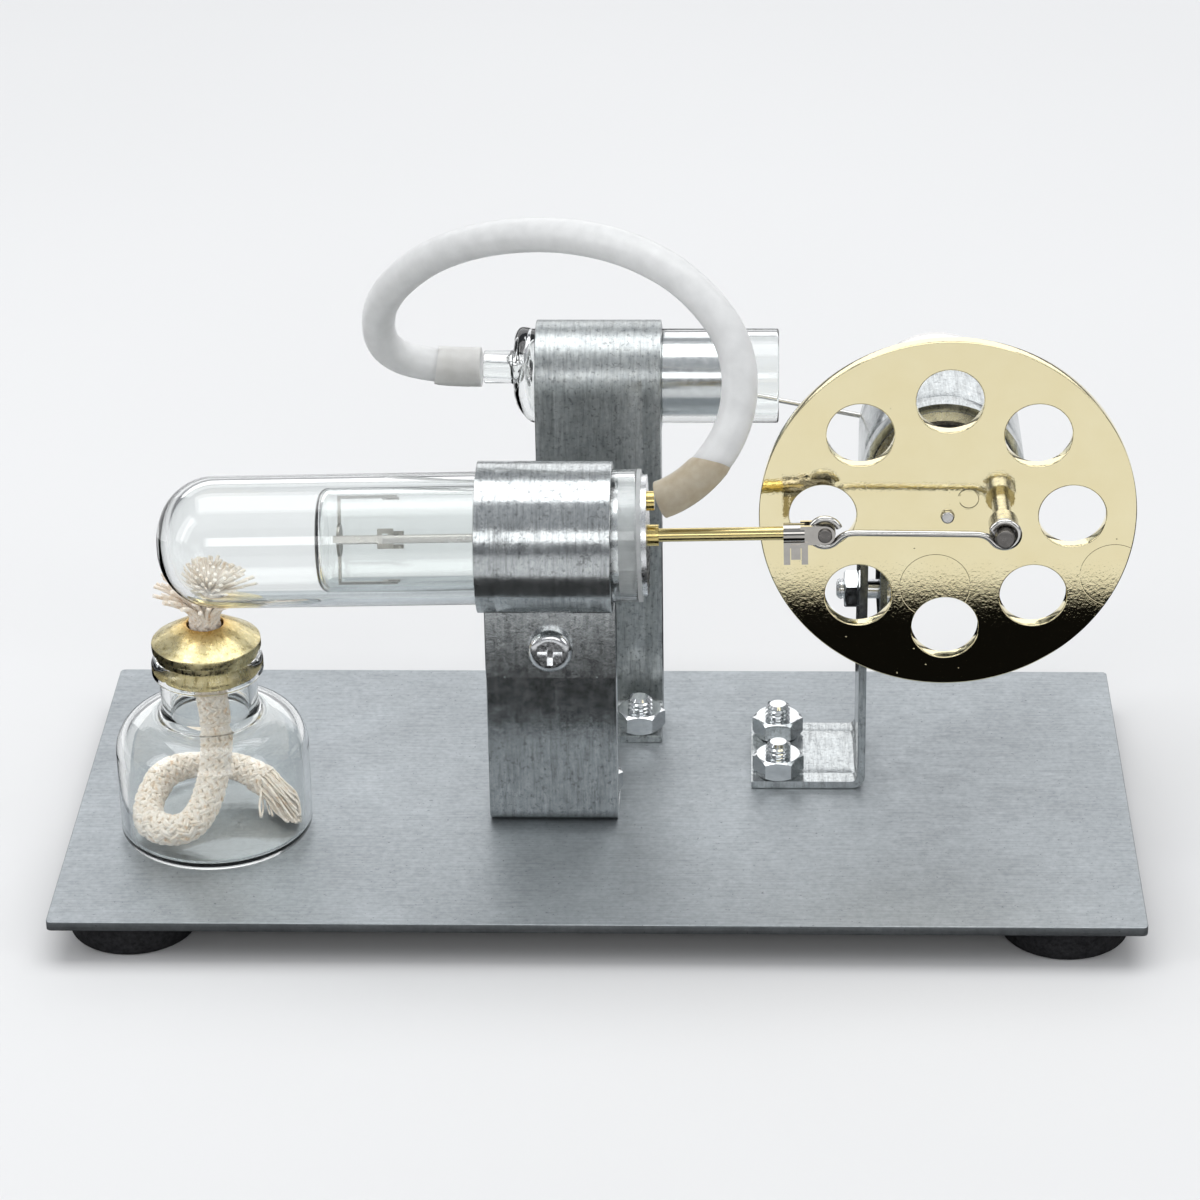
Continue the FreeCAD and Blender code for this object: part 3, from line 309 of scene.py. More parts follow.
def cap_gold():
    """Worn gold, stained brown round the wick."""
    s = Shader("cap_gold", Metallic=1.0)
    s.drive("Base Color", s.ramp(s.noise(0.8 * MM, 5.0, 0.7), (0.3, (0.36, 0.29, 0.13)),
                                 (0.44, (0.72, 0.62, 0.33)), (0.7, (0.83, 0.75, 0.48))))
    s.drive("Roughness", s.ramp(s.noise(0.9 * MM, 4.0, 0.7), (0.3, 0.42), (0.65, 0.2)))
    s.bump(s.noise(0.5 * MM, 4.0, 0.7), 0.02 * MM, 0.7)
    from_wick = s.away_from(Vector(WICK_ROUTE[0]) * MM, (1, 1, 0))
    s.darken(s.ramp(s.between(from_wick, 2.6 * MM, 6.4 * MM), (0.0, (0.70, 0.46, 0.20)),
                    (0.3, (0.92, 0.80, 0.60)), (1.0, (1, 1, 1))))
    return s


def drawn_brass():
    s = polished("brass_tube", (0.72, 0.60, 0.28), 0.16)
    s.bump(s.noise(0.12 * MM, 2.0, 0.5, (40, 1, 1)), 0.002 * MM, 0.6)
    return s


def raw_cotton():
    """Unbleached cotton with darker flecks."""
    s = Shader("raw_cotton", Roughness=0.9, Sheen_Weight=0.5, Sheen_Roughness=0.6,
               Subsurface_Weight=0.25, Subsurface_Scale=0.001)
    s.scatter_evenly()
    s.drive("Base Color", s.ramp(s.noise(0.9 * MM, 5.0, 0.7), (0.34, (0.64, 0.44, 0.27)),
                                 (0.44, (0.84, 0.73, 0.60)), (0.62, (0.91, 0.84, 0.75))))
    s.bump(s.noise(0.12 * MM, 4.0, 0.7), 0.05 * MM, 0.8)
    return s


def black_foam():
    s = Shader("black_foam", Roughness=0.95, Specular_IOR_Level=0.25)
    s.mottle(0.7, 4.0, (0.006, 0.006, 0.007), (0.03, 0.03, 0.032), 0.7)
    s.bump(s.cells(0.6 * MM), 0.12 * MM, 0.7)
    return s


# A near-black, faintly mottled finish for the bearing cover, which fills the bottom of the bearing
# housing's recess so that the recess reads dark.
def near_black_recess_cover():
    s = Shader("near_black_recess_cover", Roughness=0.5)
    s.mottle(0.8, 3.0, (0.02, 0.02, 0.022), (0.045, 0.045, 0.05))
    s.bump(s.noise(0.4 * MM, 3.0), 0.01 * MM, 0.5)
    return s


def frosted_ring():
    s = Shader("frosted_ring", Roughness=0.42, IOR=1.45, Transmission_Weight=0.55)
    s.mottle(1.2, 4.0, (0.72, 0.74, 0.74), (0.86, 0.88, 0.88))
    s.bump(s.noise(0.4 * MM, 3.0), 0.01 * MM, 0.5)
    return s


FINISH = {
    "plate": base_zinc(),
    "strap": strip_zinc("strip_zinc", (0.70, 0.73, 0.73), (0.52, 0.55, 0.56), 0.12),
    "dull_strap": strip_zinc("dull_strip_zinc", (0.64, 0.67, 0.66), (0.46, 0.49, 0.50), 0.27),
    "gold": gold_plate(),
    "cap": cap_gold(),
    "brass": drawn_brass(),
    "gland": turned_metal("gland_brass", (0.76, 0.60, 0.24), 0.2),
    "zinc": polished("bright_zinc", (0.74, 0.76, 0.77), 0.12),
    "clip": polished("clip_steel", (0.46, 0.44, 0.41), 0.08),
    "screw": polished("screw_zinc", (0.80, 0.81, 0.82), 0.2, peel=1.5, depth=0.05),
    "wire": polished("steel_wire", (0.70, 0.69, 0.66), 0.16),
    "steel": turned_metal("turned_steel", (0.62, 0.61, 0.60), 0.2, "Y"),
    "dark": polished("dark_steel", (0.20, 0.19, 0.18), 0.3),
    "aluminium": turned_metal("turned_aluminium", (0.80, 0.81, 0.82), 0.24),
    "housing": turned_metal("housing_aluminium", (0.78, 0.79, 0.80), 0.22, "Y", 0.2),
    "piston": turned_metal("piston_aluminium", (0.72, 0.73, 0.74), 0.16, "X", 0.3),
    "spring": polished("spring_steel", (0.36, 0.34, 0.31), 0.32),
    "glass": clear_glass("clear_glass"),
    "bottle": clear_glass("bottle_glass", wave=0.03),
    "silicone": silicone("milky_silicone", 0.34, (0.76, 0.765, 0.76), (0.84, 0.845, 0.84), 2.5, 3.0,
                         0.006, Subsurface_Scale=0.003, Transmission_Weight=0.18, Sheen_Weight=0.25,
                         Sheen_Roughness=0.4),
    "tinted": silicone("aged_silicone", 0.3, (0.66, 0.51, 0.33), (0.80, 0.67, 0.48),
                       Subsurface_Scale=0.002, Transmission_Weight=0.2),
    "sleeve": silicone("grey_silicone", 0.32, (0.76, 0.75, 0.71), (0.86, 0.85, 0.81),
                       Subsurface_Scale=0.002, Transmission_Weight=0.2),
    "cotton": raw_cotton(),
    "foam": black_foam(),
    # near-black finish for the bearing cover at the bottom of the housing's recess
    "rubber": near_black_recess_cover(),
    "frosted": frosted_ring(),
}


def paint(obj, finish):
    obj.data.materials.clear()
    obj.data.materials.append(FINISH[finish].material)


# -------- mesh helpers
def shade(mesh, limit):
    """Smooth faces, with every edge sharper than the limit kept crisp."""
    work = bmesh.new()
    work.from_mesh(mesh)
    for face in work.faces:
        face.smooth = True
    for edge in work.edges:
        edge.smooth = len(edge.link_faces) == 2 and edge.calc_face_angle() < math.radians(limit)
    work.to_mesh(mesh)
    work.free()


def settle(name, mesh, finish, body, stands_for):
    """An object with a finish, riding on a body in place of the CAD nodes it stands for."""
    obj = bpy.data.objects.new(name, mesh)
    bpy.context.scene.collection.objects.link(obj)
    paint(obj, finish)
    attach(obj, body)
    if stands_for:
        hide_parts(*stands_for)
    return obj


def piece(name, work, finish, body, limit=32.0, stands_for=()):
    """A finished object from a bmesh. Edges sharper than the limit, in degrees, stay crisp."""
    bmesh.ops.recalc_face_normals(work, faces=work.faces)
    mesh = bpy.data.meshes.new(name)
    work.to_mesh(mesh)
    work.free()
    shade(mesh, limit)
    return settle(name, mesh, finish, body, stands_for)


def middle_of(node):
    low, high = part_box(node)
    return (low + high) / 2


def foot_of(node):
    """The middle of a node's underside."""
    low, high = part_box(node)
    return Vector(((low.x + high.x) / 2, (low.y + high.y) / 2, low.z))


def basis(axis):
    """Unit vectors along an axis, level with the table, and across both."""
    along = axis.normalized()
    level = UP.cross(along)
    level = level.normalized() if level.length > 1e-6 else Vector((0, 1, 0))
    return along, level, along.cross(level)


def rounded(points, rounds, steps=6):
    """A (position, radius) profile with arcs at the numbered corners."""
    path = []
    for index, point in enumerate(points):
        if index not in rounds:
            path.append(Vector(point))
            continue
        corner = Vector(point)
        into = (Vector(points[index - 1]) - corner).normalized()
        out = (Vector(points[(index + 1) % len(points)]) - corner).normalized()
        half = into.angle(out) / 2
        start = corner + into * (rounds[index] / math.tan(half))
        end = corner + out * (rounds[index] / math.tan(half))
        middle = corner + (into + out).normalized() * (rounds[index] / math.sin(half))
        first, last = start - middle, end - middle
        sweep = first.angle_signed(last)
        for step in range(steps + 1):
            turn = Matrix.Rotation(-sweep * step / steps, 2)
            path.append(middle + turn @ first)
    return [(p[0], p[1]) for p in path]


def skin(work, rings):
    """Faces from each ring of vertices to the next. A ring may be a single vertex."""
    for first, second in zip(rings, rings[1:]):
        sides = max(len(first), len(second))
        for side in range(sides):
            after = (side + 1) % sides
            loop = [first[side % len(first)], first[after % len(first)],
                    second[after % len(second)], second[side % len(second)]]
            corners = list(dict.fromkeys(loop))
            if len(corners) > 2:
                work.faces.new(corners)


def turn_about(work, profile, at, axis, sides=96, closed=False, wobble=None, shift=None):
    """Add a turned surface: profile in mm along the axis and out from it.

    wobble(position, angle) adds to the radius, and shift(position) lifts the middle, both in mm.
    """
    along, level, across = basis(axis)
    rings = []
    for position, radius in profile:
        centre = at + along * position * MM + across * (shift(position) if shift else 0.0) * MM
        if radius < 1e-5:
            rings.append([work.verts.new(centre)])
            continue
        ring = []
        for side in range(sides):
            angle = 2 * math.pi * side / sides
            out = radius + (wobble(position, angle) if wobble else 0.0)
            ring.append(work.verts.new(centre + (level * math.cos(angle) + across * math.sin(angle))
                                       * out * MM))
        rings.append(ring)
    skin(work, [*rings, rings[0]] if closed else rings)
    return work


def lathe(name, profile, at, axis, finish, body, sides=96, closed=False, stands_for=(),
          limit=32.0, wobble=None, shift=None):
    work = turn_about(bmesh.new(), profile, at, axis, sides, closed, wobble, shift)
    return piece(name, work, finish, body, limit, stands_for)


def frames(points):
    """Heading and two steady side vectors at each point of a line."""
    side = (points[1] - points[0]).orthogonal().normalized()
    result = []
    for index in range(len(points)):
        before, after = points[max(index - 1, 0)], points[min(index + 1, len(points) - 1)]
        heading = (after - before).normalized()
        side = (side - heading * side.dot(heading)).normalized()
        result.append((heading, side, heading.cross(side)))
    return result


def sweep(work, points, radii, sides):
    """Add a round tube along points, of one radius or one for each point, in metres."""
    radii = radii if isinstance(radii, list) else [radii] * len(points)
    rings = []
    for point, radius, (_, side, other) in zip(points, radii, frames(points)):
        rings.append([work.verts.new(point + (side * math.cos(2 * math.pi * k / sides)
                                              + other * math.sin(2 * math.pi * k / sides))
                                     * radius) for k in range(sides)])
    skin(work, rings)
    work.faces.new(list(reversed(rings[0])))
    work.faces.new(rings[-1])
    return work


def smooth_line(points, steps=8):
    """A Catmull-Rom line through points."""
    ends = [points[0] * 2 - points[1], *points, points[-1] * 2 - points[-2]]
    line = []
    for a, b, c, d in zip(ends, ends[1:], ends[2:], ends[3:]):
        for step in range(steps):
            t = step / steps
            line.append(0.5 * ((2 * b) + (c - a) * t + (2 * a - 5 * b + 4 * c - d) * t * t
                               + (3 * b - a - 3 * c + d) * t ** 3))
    return [*line, points[-1]]


def thread(work, start, axis, length, root, crest, pitch):
    """Add a screw thread's V ridge, in mm, from a root radius to a crest radius round a shank."""
    along, level, across = basis(axis)
    per_turn = 28
    count = int(length / pitch * per_turn)
    rows = []
    for step in range(count + 1):
        angle = 2 * math.pi * step / per_turn
        fade = min(1.0, step / 10, (count - step) / 10)
        centre = start + along * (length * step / count) * MM
        out = level * math.cos(angle) + across * math.sin(angle)
        low = root - 0.05
        top = low + (crest - low) * fade
        rows.append([work.verts.new(centre + (along * shift * pitch + out * reach) * MM)
                     for shift, reach in ((-0.46, low), (-0.06, top), (0.06, top), (0.46, low))])
    skin(work, rows)
    work.faces.new(rows[0])
    work.faces.new(list(reversed(rows[-1])))
    return work


# -------- cords: the hose and the wick
def route_curve(name, route):
    """The NURBS curve whose control points are a route's points."""
    data = bpy.data.curves.new(name, "CURVE")
    data.dimensions = "3D"
    spline = data.splines.new("NURBS")
    spline.points.add(len(route) - 1)
    for control, spot in zip(spline.points, route):
        control.co = (*(Vector(spot) * MM), 1.0)
    spline.order_u = 3
    spline.use_endpoint_u = True
    spline.resolution_u = 24
    curve = bpy.data.objects.new(name, data)
    bpy.context.scene.collection.objects.link(curve)
    return curve


def points_of(curve):
    """Points along a curve that has no bevel yet."""
    bpy.context.view_layer.update()
    mesh = bpy.data.meshes.new_from_object(curve)
    points = [vertex.co.copy() for vertex in mesh.vertices]
    bpy.data.meshes.remove(mesh)
    return points


def even(points, gap):
    """The same line with its points a steady gap apart."""
    marks = [0.0]
    for a, b in zip(points, points[1:]):
        marks.append(marks[-1] + (b - a).length)
    count = max(2, round(marks[-1] / gap))
    line, index = [], 0
    for step in range(count + 1):
        want = marks[-1] * step / count
        while index < len(marks) - 2 and marks[index + 1] < want:
            index += 1
        span = marks[index + 1] - marks[index]
        line.append(points[index].lerp(points[index + 1], (want - marks[index]) / span))
    return line


def sleeve_on(name, points, start, end, radius, inner, slant, finish):
    """A push-on sleeve round part of the hose, in mm along it; one end may be cut at a slant."""
    length = 0.4 * MM
    run = even(points, length)
    first, last = round(start * MM / length), round(end * MM / length)
    axes = frames(run)
    work = bmesh.new()
    sides = 32
    count = last - first
    shells = []
    for reach in (radius, inner):
        rings = []
        for step in range(count + 1):
            ring = []
            for k in range(sides):
                angle = 2 * math.pi * k / sides
                lag = slant * MM * (0.5 + 0.5 * math.cos(angle)) * step / count
                place = min(max((first + step) * length - lag, 0), (len(run) - 1) * length)
                index = min(int(place / length), len(run) - 2)
                centre = run[index].lerp(run[index + 1], place / length - index)
                _, side, other = axes[index]
                lip = 0.12 * math.exp(-((count - step) * length / MM) ** 2 / 0.25)
                ring.append(work.verts.new(centre + (side * math.cos(angle) + other * math.sin(angle))
                                           * (reach - lip) * MM))
            rings.append(ring)
        shells.append(rings)
    outside, inside = shells
    for rings in (outside, inside, [outside[0], inside[0]], [outside[-1], inside[-1]]):
        skin(work, rings)
    return piece(name, work, finish, "engine", 50.0)


def air_hose():
    hose = route_curve("air_hose_tube", HOSE_ROUTE)
    line = points_of(hose)
    hose.data.bevel_depth = HOSE_DIAMETER / 2
    hose.data.bevel_resolution = 8
    hose.data.use_fill_caps = True
    hose.data.materials.append(FINISH["silicone"].material)
    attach(hose, "engine")
    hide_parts("air_hose")
    lower = sleeve_on("hose_lower_sleeve", line, start=0.0, end=10.5, radius=2.82, inner=2.6,
                      slant=2.6, finish="tinted")
    upper = sleeve_on("hose_nozzle_sleeve", list(reversed(line)), start=0.0, end=7.4, radius=3.15,
                      inner=2.6, slant=0.0, finish="sleeve")


def wick():
    """A braided cotton wick: sixteen two-ply yarns, eight each way round, passing over and under."""
    guide = route_curve("wick_guide", WICK_ROUTE)
    line = even(points_of(guide), 0.16 * MM)
    bpy.data.objects.remove(guide)
    axes = frames(line)
    work = bmesh.new()
    yarns, pitch = 16, 15.0 * MM
    middle, weave, ply_radius, ply_turn, core = 2.0 * MM, 0.17 * MM, 0.32 * MM, 0.122, 1.9 * MM
    travelled = [0.0]
    for a, b in zip(line, line[1:]):
        travelled.append(travelled[-1] + (b - a).length)
    for yarn in range(yarns):
        way = 1 if yarn % 2 else -1
        phase = 2 * math.pi * (yarn // 2) / (yarns // 2)
        for ply in (-1, 1):
            points = []
            for centre, (_, side, other), far in zip(line, axes, travelled):
                turned = 2 * math.pi * far / pitch
                beat = math.cos(yarns / 2 * turned + (math.pi if way > 0 else 0))
                reach = middle + weave * beat
                angle = way * turned + phase + ply * ply_turn
                points.append(centre + (side * math.cos(angle) + other * math.sin(angle)) * reach)
            sweep(work, points[::2], ply_radius * DRAW.uniform(0.92, 1.08), 7)
    sweep(work, line[::4], core, 12)
    rope = piece("wick_braid", work, "cotton", "burner", 60.0, ("wick",))
    top = frayed_top()
    tail = frayed_tail(line, axes)


def clear_of_tube(spot):
    """The point, moved out of the hot tube and the room round it."""
    room = 10.25 * MM
    axis = HOT_MIDDLE + HOT_ALONG * ((spot - HOT_MIDDLE).dot(HOT_ALONG))
    out = spot - axis
    return axis + out.normalized() * max(out.length, room)


def frayed_top():
    """The combed-out yarn ends above the cap: blunt, and fanned out like a brush behind the tube."""
    foot = Vector(WICK_ROUTE[0]) * MM
    work = bmesh.new()
    count = 92
    for index in range(count):
        turn = index * GOLDEN_ANGLE
        spread = math.sqrt((index + 0.5) / count)
        out = Vector((math.cos(turn), math.sin(turn), 0))
        root = foot + out * spread * 2.0 * MM - Vector((0, 0, 3.0 * MM))
        reach = (1.0 + 5.0 * spread ** 1.3) * DRAW.uniform(0.86, 1.12)
        rise = 3.0 + (6.2 - 4.4 * spread ** 2.6) * DRAW.uniform(0.9, 1.05)
        thick = DRAW.uniform(0.27, 0.37) * MM
        spots = []
        for step in range(8):
            t = step / 7
            sway = Vector((DRAW.gauss(0, 0.06), DRAW.gauss(0, 0.06), DRAW.gauss(0, 0.04))) * MM * t
            climb = rise * t ** 0.92
            flare = reach * t ** 2.0
            spot = root + out * flare * MM + Vector((0, 0, climb * MM)) + sway
            spots.append(clear_of_tube(spot))
        shape = smooth_line(spots, 3)
        sweep(work, shape, [thick * (0.92 + 0.16 * k / len(shape)) for k in range(len(shape))], 7)
    return piece("wick_frayed_top", work, "cotton", "burner", 60.0, ("wick_fray",))


def frayed_tail(line, axes):
    """The loose end in the bottle: a soft tassel that droops, and yarns that have come away."""
    end = line[-1]
    heading, side, other = axes[-1]
    axis = Vector((WICK_ROUTE[0][0], WICK_ROUTE[0][1], 0)) * MM
    bottle_wall, bottle_floor = 12.9 * MM, 8.6
    work = bmesh.new()
    count = 64
    for index in range(count):
        turn = index * GOLDEN_ANGLE
        spread = math.sqrt((index + 0.5) / count)
        loose = index % 16 == 7
        out = side * math.cos(turn) + other * math.sin(turn)
        root = end + out * spread * 2.1 * MM - heading * (4.5 if loose else 1.2) * MM
        reach = DRAW.uniform(6.0, 8.2)
        bow = Vector((-0.6 if loose else 0.35, -1.0, 0)) * (5.0 if loose else 2.4)
        fall = 5.5 if loose else 2.6
        spots = []
        for step in range(7):
            t = step / 6
            spot = root + (heading * reach * t + out * spread * 0.9 * t * t + bow * t * t) * MM
            spot += Vector((DRAW.gauss(0, 0.1), DRAW.gauss(0, 0.1), DRAW.gauss(0, 0.1))) * MM * t
            spot.z = max(spot.z - fall * t * t * MM, (bottle_floor + 0.5 * spread) * MM)
            flat = Vector((spot.x - axis.x, spot.y - axis.y, 0))
            if flat.length > bottle_wall:
                flat *= bottle_wall / flat.length
                spot.x, spot.y = axis.x + flat.x, axis.y + flat.y
            spots.append(spot)
        shape = smooth_line(spots, 3)
        width = DRAW.uniform(0.2, 0.3) * MM
        sweep(work, shape, [width * (1.0 - 0.3 * k / len(shape)) for k in range(len(shape))], 6)
    return piece("wick_frayed_tail", work, "cotton", "burner", 60.0)


# -------- glass
HOT_MIDDLE = Vector((-7.2, -22.25, 61.0)) * MM
HOT_TILT = math.radians(1.1)
HOT_ALONG = Vector((math.cos(HOT_TILT), 0, math.sin(HOT_TILT)))
POWER_MIDDLE = Vector((-1.0, 33.95, 62.6)) * MM


def hot_glass():
    outer = [(-57.2, 0), (-57.2, 9.8), (13.8, 9.8), (13.8, 8.7), (-55.7, 8.7), (-55.7, 0)]
    profile = rounded(outer, {1: 8.6, 2: 0.35, 3: 0.35, 4: 7.2}, 14)
    lathe("hot_glass", profile, HOT_MIDDLE, HOT_ALONG, "glass", "engine", 128,
          stands_for=("hot_cylinder",))


def displacer_glass():
    outer = [(-33.3, 0), (-33.3, 7.75), (7.2, 7.75), (7.2, 6.95), (-32.5, 6.95), (-32.5, 0)]
    profile = rounded(outer, {1: 1.7, 2: 0.3, 3: 0.3, 4: 1.0}, 8)
    lathe("displacer_glass", profile, HOT_MIDDLE, HOT_ALONG, "glass", "displacer", 112,
          stands_for=("displacer_tube",))


def power_glass():
    """The power cylinder: drawn tube, a lumpy hand-blown shoulder and an off-centre nozzle."""
    rise, left, right = 1.5, -13.7, 28.5
    outline = [(left - 4.7, 1.5), (left - 4.7, 2.6), (left + 0.2, 2.6), (left + 0.2, 7.5), (right, 7.5),
               (right, 6.5), (left + 1.6, 6.5), (left + 1.6, 1.5)]
    profile = rounded(outline, {1: 0.4, 2: 0.8, 3: 3.0, 4: 0.35, 5: 0.35, 6: 2.6, 7: 0.8}, 10)

    def lift(position):
        share = min(max((left + 3.4 - position) / 3.4, 0.0), 1.0)
        return rise * share * share * (3 - 2 * share)

    def lumps(position, angle):
        near = math.exp(-((position - left - 0.9) / 1.1) ** 2)
        return 0.16 * near * (math.sin(3 * angle + 0.6) + 0.6 * math.sin(5 * angle + 2.0))

    lathe("power_glass", profile, POWER_MIDDLE, Vector((1, 0, 0)), "glass", "engine",
          112, closed=True, stands_for=("power_cylinder",), wobble=lumps, shift=lift)


# -------- spirit burner
def burner():
    foot = foot_of("burner_bottle")
    outline = [(0, 0), (0, 14.8), (20.5, 14.8), (20.5, 7.4), (27.0, 7.4), (27.0, 8.5), (30.2, 8.5),
               (30.2, 6.0), (19.3, 6.0), (19.3, 13.6), (1.2, 13.6), (1.2, 0)]
    bottle = rounded(outline, {1: 1.9, 2: 6.2, 3: 1.5, 4: 0.5, 5: 0.8, 6: 1.2, 7: 0.6, 8: 1.3, 9: 5.2,
                               10: 1.0}, 12)
    bottle[0] = (0.4, 0)
    lathe("bottle_glass", bottle, foot, UP, "bottle", "burner", 128,
          stands_for=("burner_bottle",))
    outline = [(27.1, 2.75), (27.1, 6.03), (30.25, 6.03), (30.25, 7.8), (31.4, 7.8), (31.4, 8.3),
               (32.7, 8.3), (34.7, 5.0), (35.6, 2.75)]
    cap = rounded(outline, {1: 0.3, 3: 0.2, 5: 0.25, 6: 0.22, 7: 6.0, 8: 0.25}, 6)

    def hammered(position, angle):
        return 0.02 * math.sin(7 * angle + position) + 0.015 * math.sin(17 * angle - 3 * position)

    lathe("burner_gold_cap", cap, foot, UP, "cap", "burner", 112, closed=True,
          stands_for=("burner_cap",), limit=50.0, wobble=hammered)


# -------- sheet metal
SHEET, STRIP_WIDE, BEND = 1.2, 20.0, 1.6


def punched_sheet(name, loops, thick, edge, finish, body, matrix, stands_for):
    """A flat plate from an outline and its holes, with softened edges. The loops are in mm."""
    data = bpy.data.curves.new(name, "CURVE")
    data.dimensions, data.fill_mode = "2D", "BOTH"
    data.extrude, data.bevel_depth, data.offset = (thick / 2 - edge) * MM, edge * MM, -edge * MM
    data.bevel_resolution = 2
    for loop in loops:
        spline = data.splines.new("POLY")
        spline.points.add(len(loop) - 1)
        for control, spot in zip(spline.points, loop):
            control.co = (spot[0] * MM, spot[1] * MM, 0, 1)
        spline.use_cyclic_u = True
    curve = bpy.data.objects.new(name + "_outline", data)
    bpy.context.scene.collection.objects.link(curve)
    bpy.context.view_layer.update()
    mesh = bpy.data.meshes.new_from_object(curve)
    bpy.data.objects.remove(curve)
    mesh.name = name
    work = bmesh.new()
    work.from_mesh(mesh)
    bmesh.ops.remove_doubles(work, verts=work.verts, dist=1e-7)
    bmesh.ops.recalc_face_normals(work, faces=work.faces)
    for face in work.faces:
        face.smooth = abs(face.normal.z) < 0.999
    work.to_mesh(mesh)
    work.free()
    mesh.transform(matrix)
    settle(name, mesh, finish, body, stands_for)


def circle(centre, radius, count):
    return [(centre[0] + radius * math.cos(2 * math.pi * k / count),
             centre[1] + radius * math.sin(2 * math.pi * k / count)) for k in range(count)]


def bolt_spots():
    """Where the foot bolts pass through the base plate, in mm from its middle."""
    middle = middle_of("base_plate")
    spots = []
    for name in ("hot", "power", "bearing"):
        first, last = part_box(name + "_foot_bolts")
        wide = last - first
        radius = min(wide.x, wide.y) / 2
        across = Vector((1, 0, 0)) if wide.x > wide.y else Vector((0, 1, 0))
        half = across * (max(wide.x, wide.y) / 2 - radius)
        spots += [(middle_of(name + "_foot_bolts") - middle + half * side) / MM for side in (-1, 1)]
    return spots


def base_sheet():
    low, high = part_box("base_plate")
    half = (high - low) / 2 / MM
    corner, bolt_hole = 0.8, 2.15
    outline = []
    for quarter, (x, y) in enumerate(((1, 1), (-1, 1), (-1, -1), (1, -1))):
        for step in range(5):
            angle = math.radians(90 * quarter + 22.5 * step)
            outline.append((x * (half.x - corner) + corner * math.cos(angle),
                            y * (half.y - corner) + corner * math.sin(angle)))
    holes = [circle((spot.x, spot.y), bolt_hole, 32) for spot in bolt_spots()]
    punched_sheet("base_sheet", [outline, *holes], 2 * half.z, 0.14, "plate", "engine",
                  Matrix.Translation(middle_of("base_plate")), ("base_plate",))


def flywheel():
    low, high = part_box("flywheel")
    hole_circle, hole, shaft_hole = 18.5, 5.0, 0.9
    loops = [circle((0, 0), (high.x - low.x) / 2 / MM, 200)]
    for index in range(8):
        angle = math.pi / 4 * index
        spot = (hole_circle * math.cos(angle), hole_circle * math.sin(angle))
        loops.append(circle(spot, hole, 72))
    loops.append(circle((0, 0), shaft_hole, 24))
    upright = Matrix.Translation(middle_of("flywheel")) @ Matrix.Rotation(math.radians(90), 4, "X")
    punched_sheet("flywheel_disc", loops, (high.y - low.y) / MM, 0.16, "gold", "crank",
                  upright, ("flywheel",))


def strip_line(loop, drop, foot, tab_end, tab_gap, spring):
    """The strip's middle line seen edge-on, in mm: foot, upright, loop, and the tab beside the
    upright, whose free end springs away from it."""
    tab = -loop + SHEET + tab_gap - spring / 4
    lean = math.asin((-tab - BEND) / (loop + BEND))
    turn = math.degrees(lean)
    hub = (-(loop + BEND) * math.sin(lean), -(loop + BEND) * math.cos(lean))
    line = [(-loop - foot, -drop), (-loop - foot / 2, -drop)]

    def bend(centre, radius, start, end, count):
        for step in range(count + 1):
            angle = math.radians(start + (end - start) * step / count)
            line.append((centre[0] + radius * math.cos(angle), centre[1] + radius * math.sin(angle)))

    bend((-loop - BEND, -drop + BEND), BEND, -90, 0, 10)
    for step in range(1, 10):
        line.append((-loop, -drop + BEND + (drop - BEND) * step / 10))
    bend((0, 0), loop, 180, -90 - turn, 96)
    bend(hub, BEND, 90 - turn, 180, 10)
    for step in range(1, 6):
        line.append((tab + spring * step / 5, hub[1] + (-tab_end - hub[1]) * step / 5))
    return [point for point, after in zip(line, [*line[1:], (1e9, 0)])
            if math.dist(point, after) > 1e-4]


def strip(name, held, centre, loop_side, foot, tab_end, tab_gap, finish="strap", spring=0.0):
    """One bent strip, in mm, with rolled edges and a die line near each: a loop round what it
    holds, of diameter `held`, an upright and a foot on one side of it, and a tab."""
    loop = held / 2 + 0.2 + SHEET / 2
    plate_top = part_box("base_plate")[1].z / MM
    line = strip_line(loop, centre[2] - plate_top - SHEET / 2, foot, tab_end, tab_gap, spring)
    side = Vector(loop_side)
    across = side.cross(UP)
    half, edge = SHEET / 2, 0.18
    wide = STRIP_WIDE / 2
    die, groove, dip = wide - 3.0, 0.14, 0.035
    lines = [(die + groove, half), (die, half - dip), (die - groove, half)]
    section = [(wide - edge, half), *lines, (wide * 0.35, half), (0, half), (-wide * 0.35, half),
               *[(-out, lift) for out, lift in reversed(lines)], (-wide + edge, half)]
    for turn in (112.5, 135, 157.5, 180):
        angle = math.radians(turn)
        section.append((-wide + edge + edge * math.cos(angle), half - edge + edge * math.sin(angle)))
    section += [(-x, -y) for x, y in section]
    work = bmesh.new()
    rings = []
    for index, point in enumerate(line):
        before, after = line[max(index - 1, 0)], line[min(index + 1, len(line) - 1)]
        heading = Vector((after[0] - before[0], after[1] - before[1])).normalized()
        normal = Vector((-heading.y, heading.x))
        ring = []
        for out, lift in section:
            u = point[0] + normal.x * lift
            v = point[1] + normal.y * lift
            ring.append(work.verts.new((Vector(centre) + side * u + UP * v + across * out) * MM))
        rings.append(ring)
    skin(work, rings)
    ends = [work.faces.new(list(reversed(rings[0]))), work.faces.new(rings[-1])]
    rims = list({edge for face in ends for edge in face.edges})
    bmesh.ops.bevel(work, geom=rims, offset=0.16 * MM, segments=2, affect="EDGES", clamp_overlap=True)
    return piece(name + "_strip", work, finish, "engine", 40.0,
                 (name + "_bracket",))


def brackets():
    strip("hot", 19.6, HOT_MIDDLE / MM, (0, -1, 0), foot=15.0, tab_end=27.7, tab_gap=0.2, spring=0.55)
    strip("power", 15.0, POWER_MIDDLE / MM, (0, 1, 0), foot=11.6, tab_end=26.4, tab_gap=0.2,
          finish="dull_strap")
    spot = middle_of("crankshaft") / MM
    spot.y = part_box("bearing_bracket")[0].y / MM + STRIP_WIDE / 2
    strip("bearing", 22.0, spot, (1, 0, 0), foot=17.2, tab_end=27.6, tab_gap=1.8)


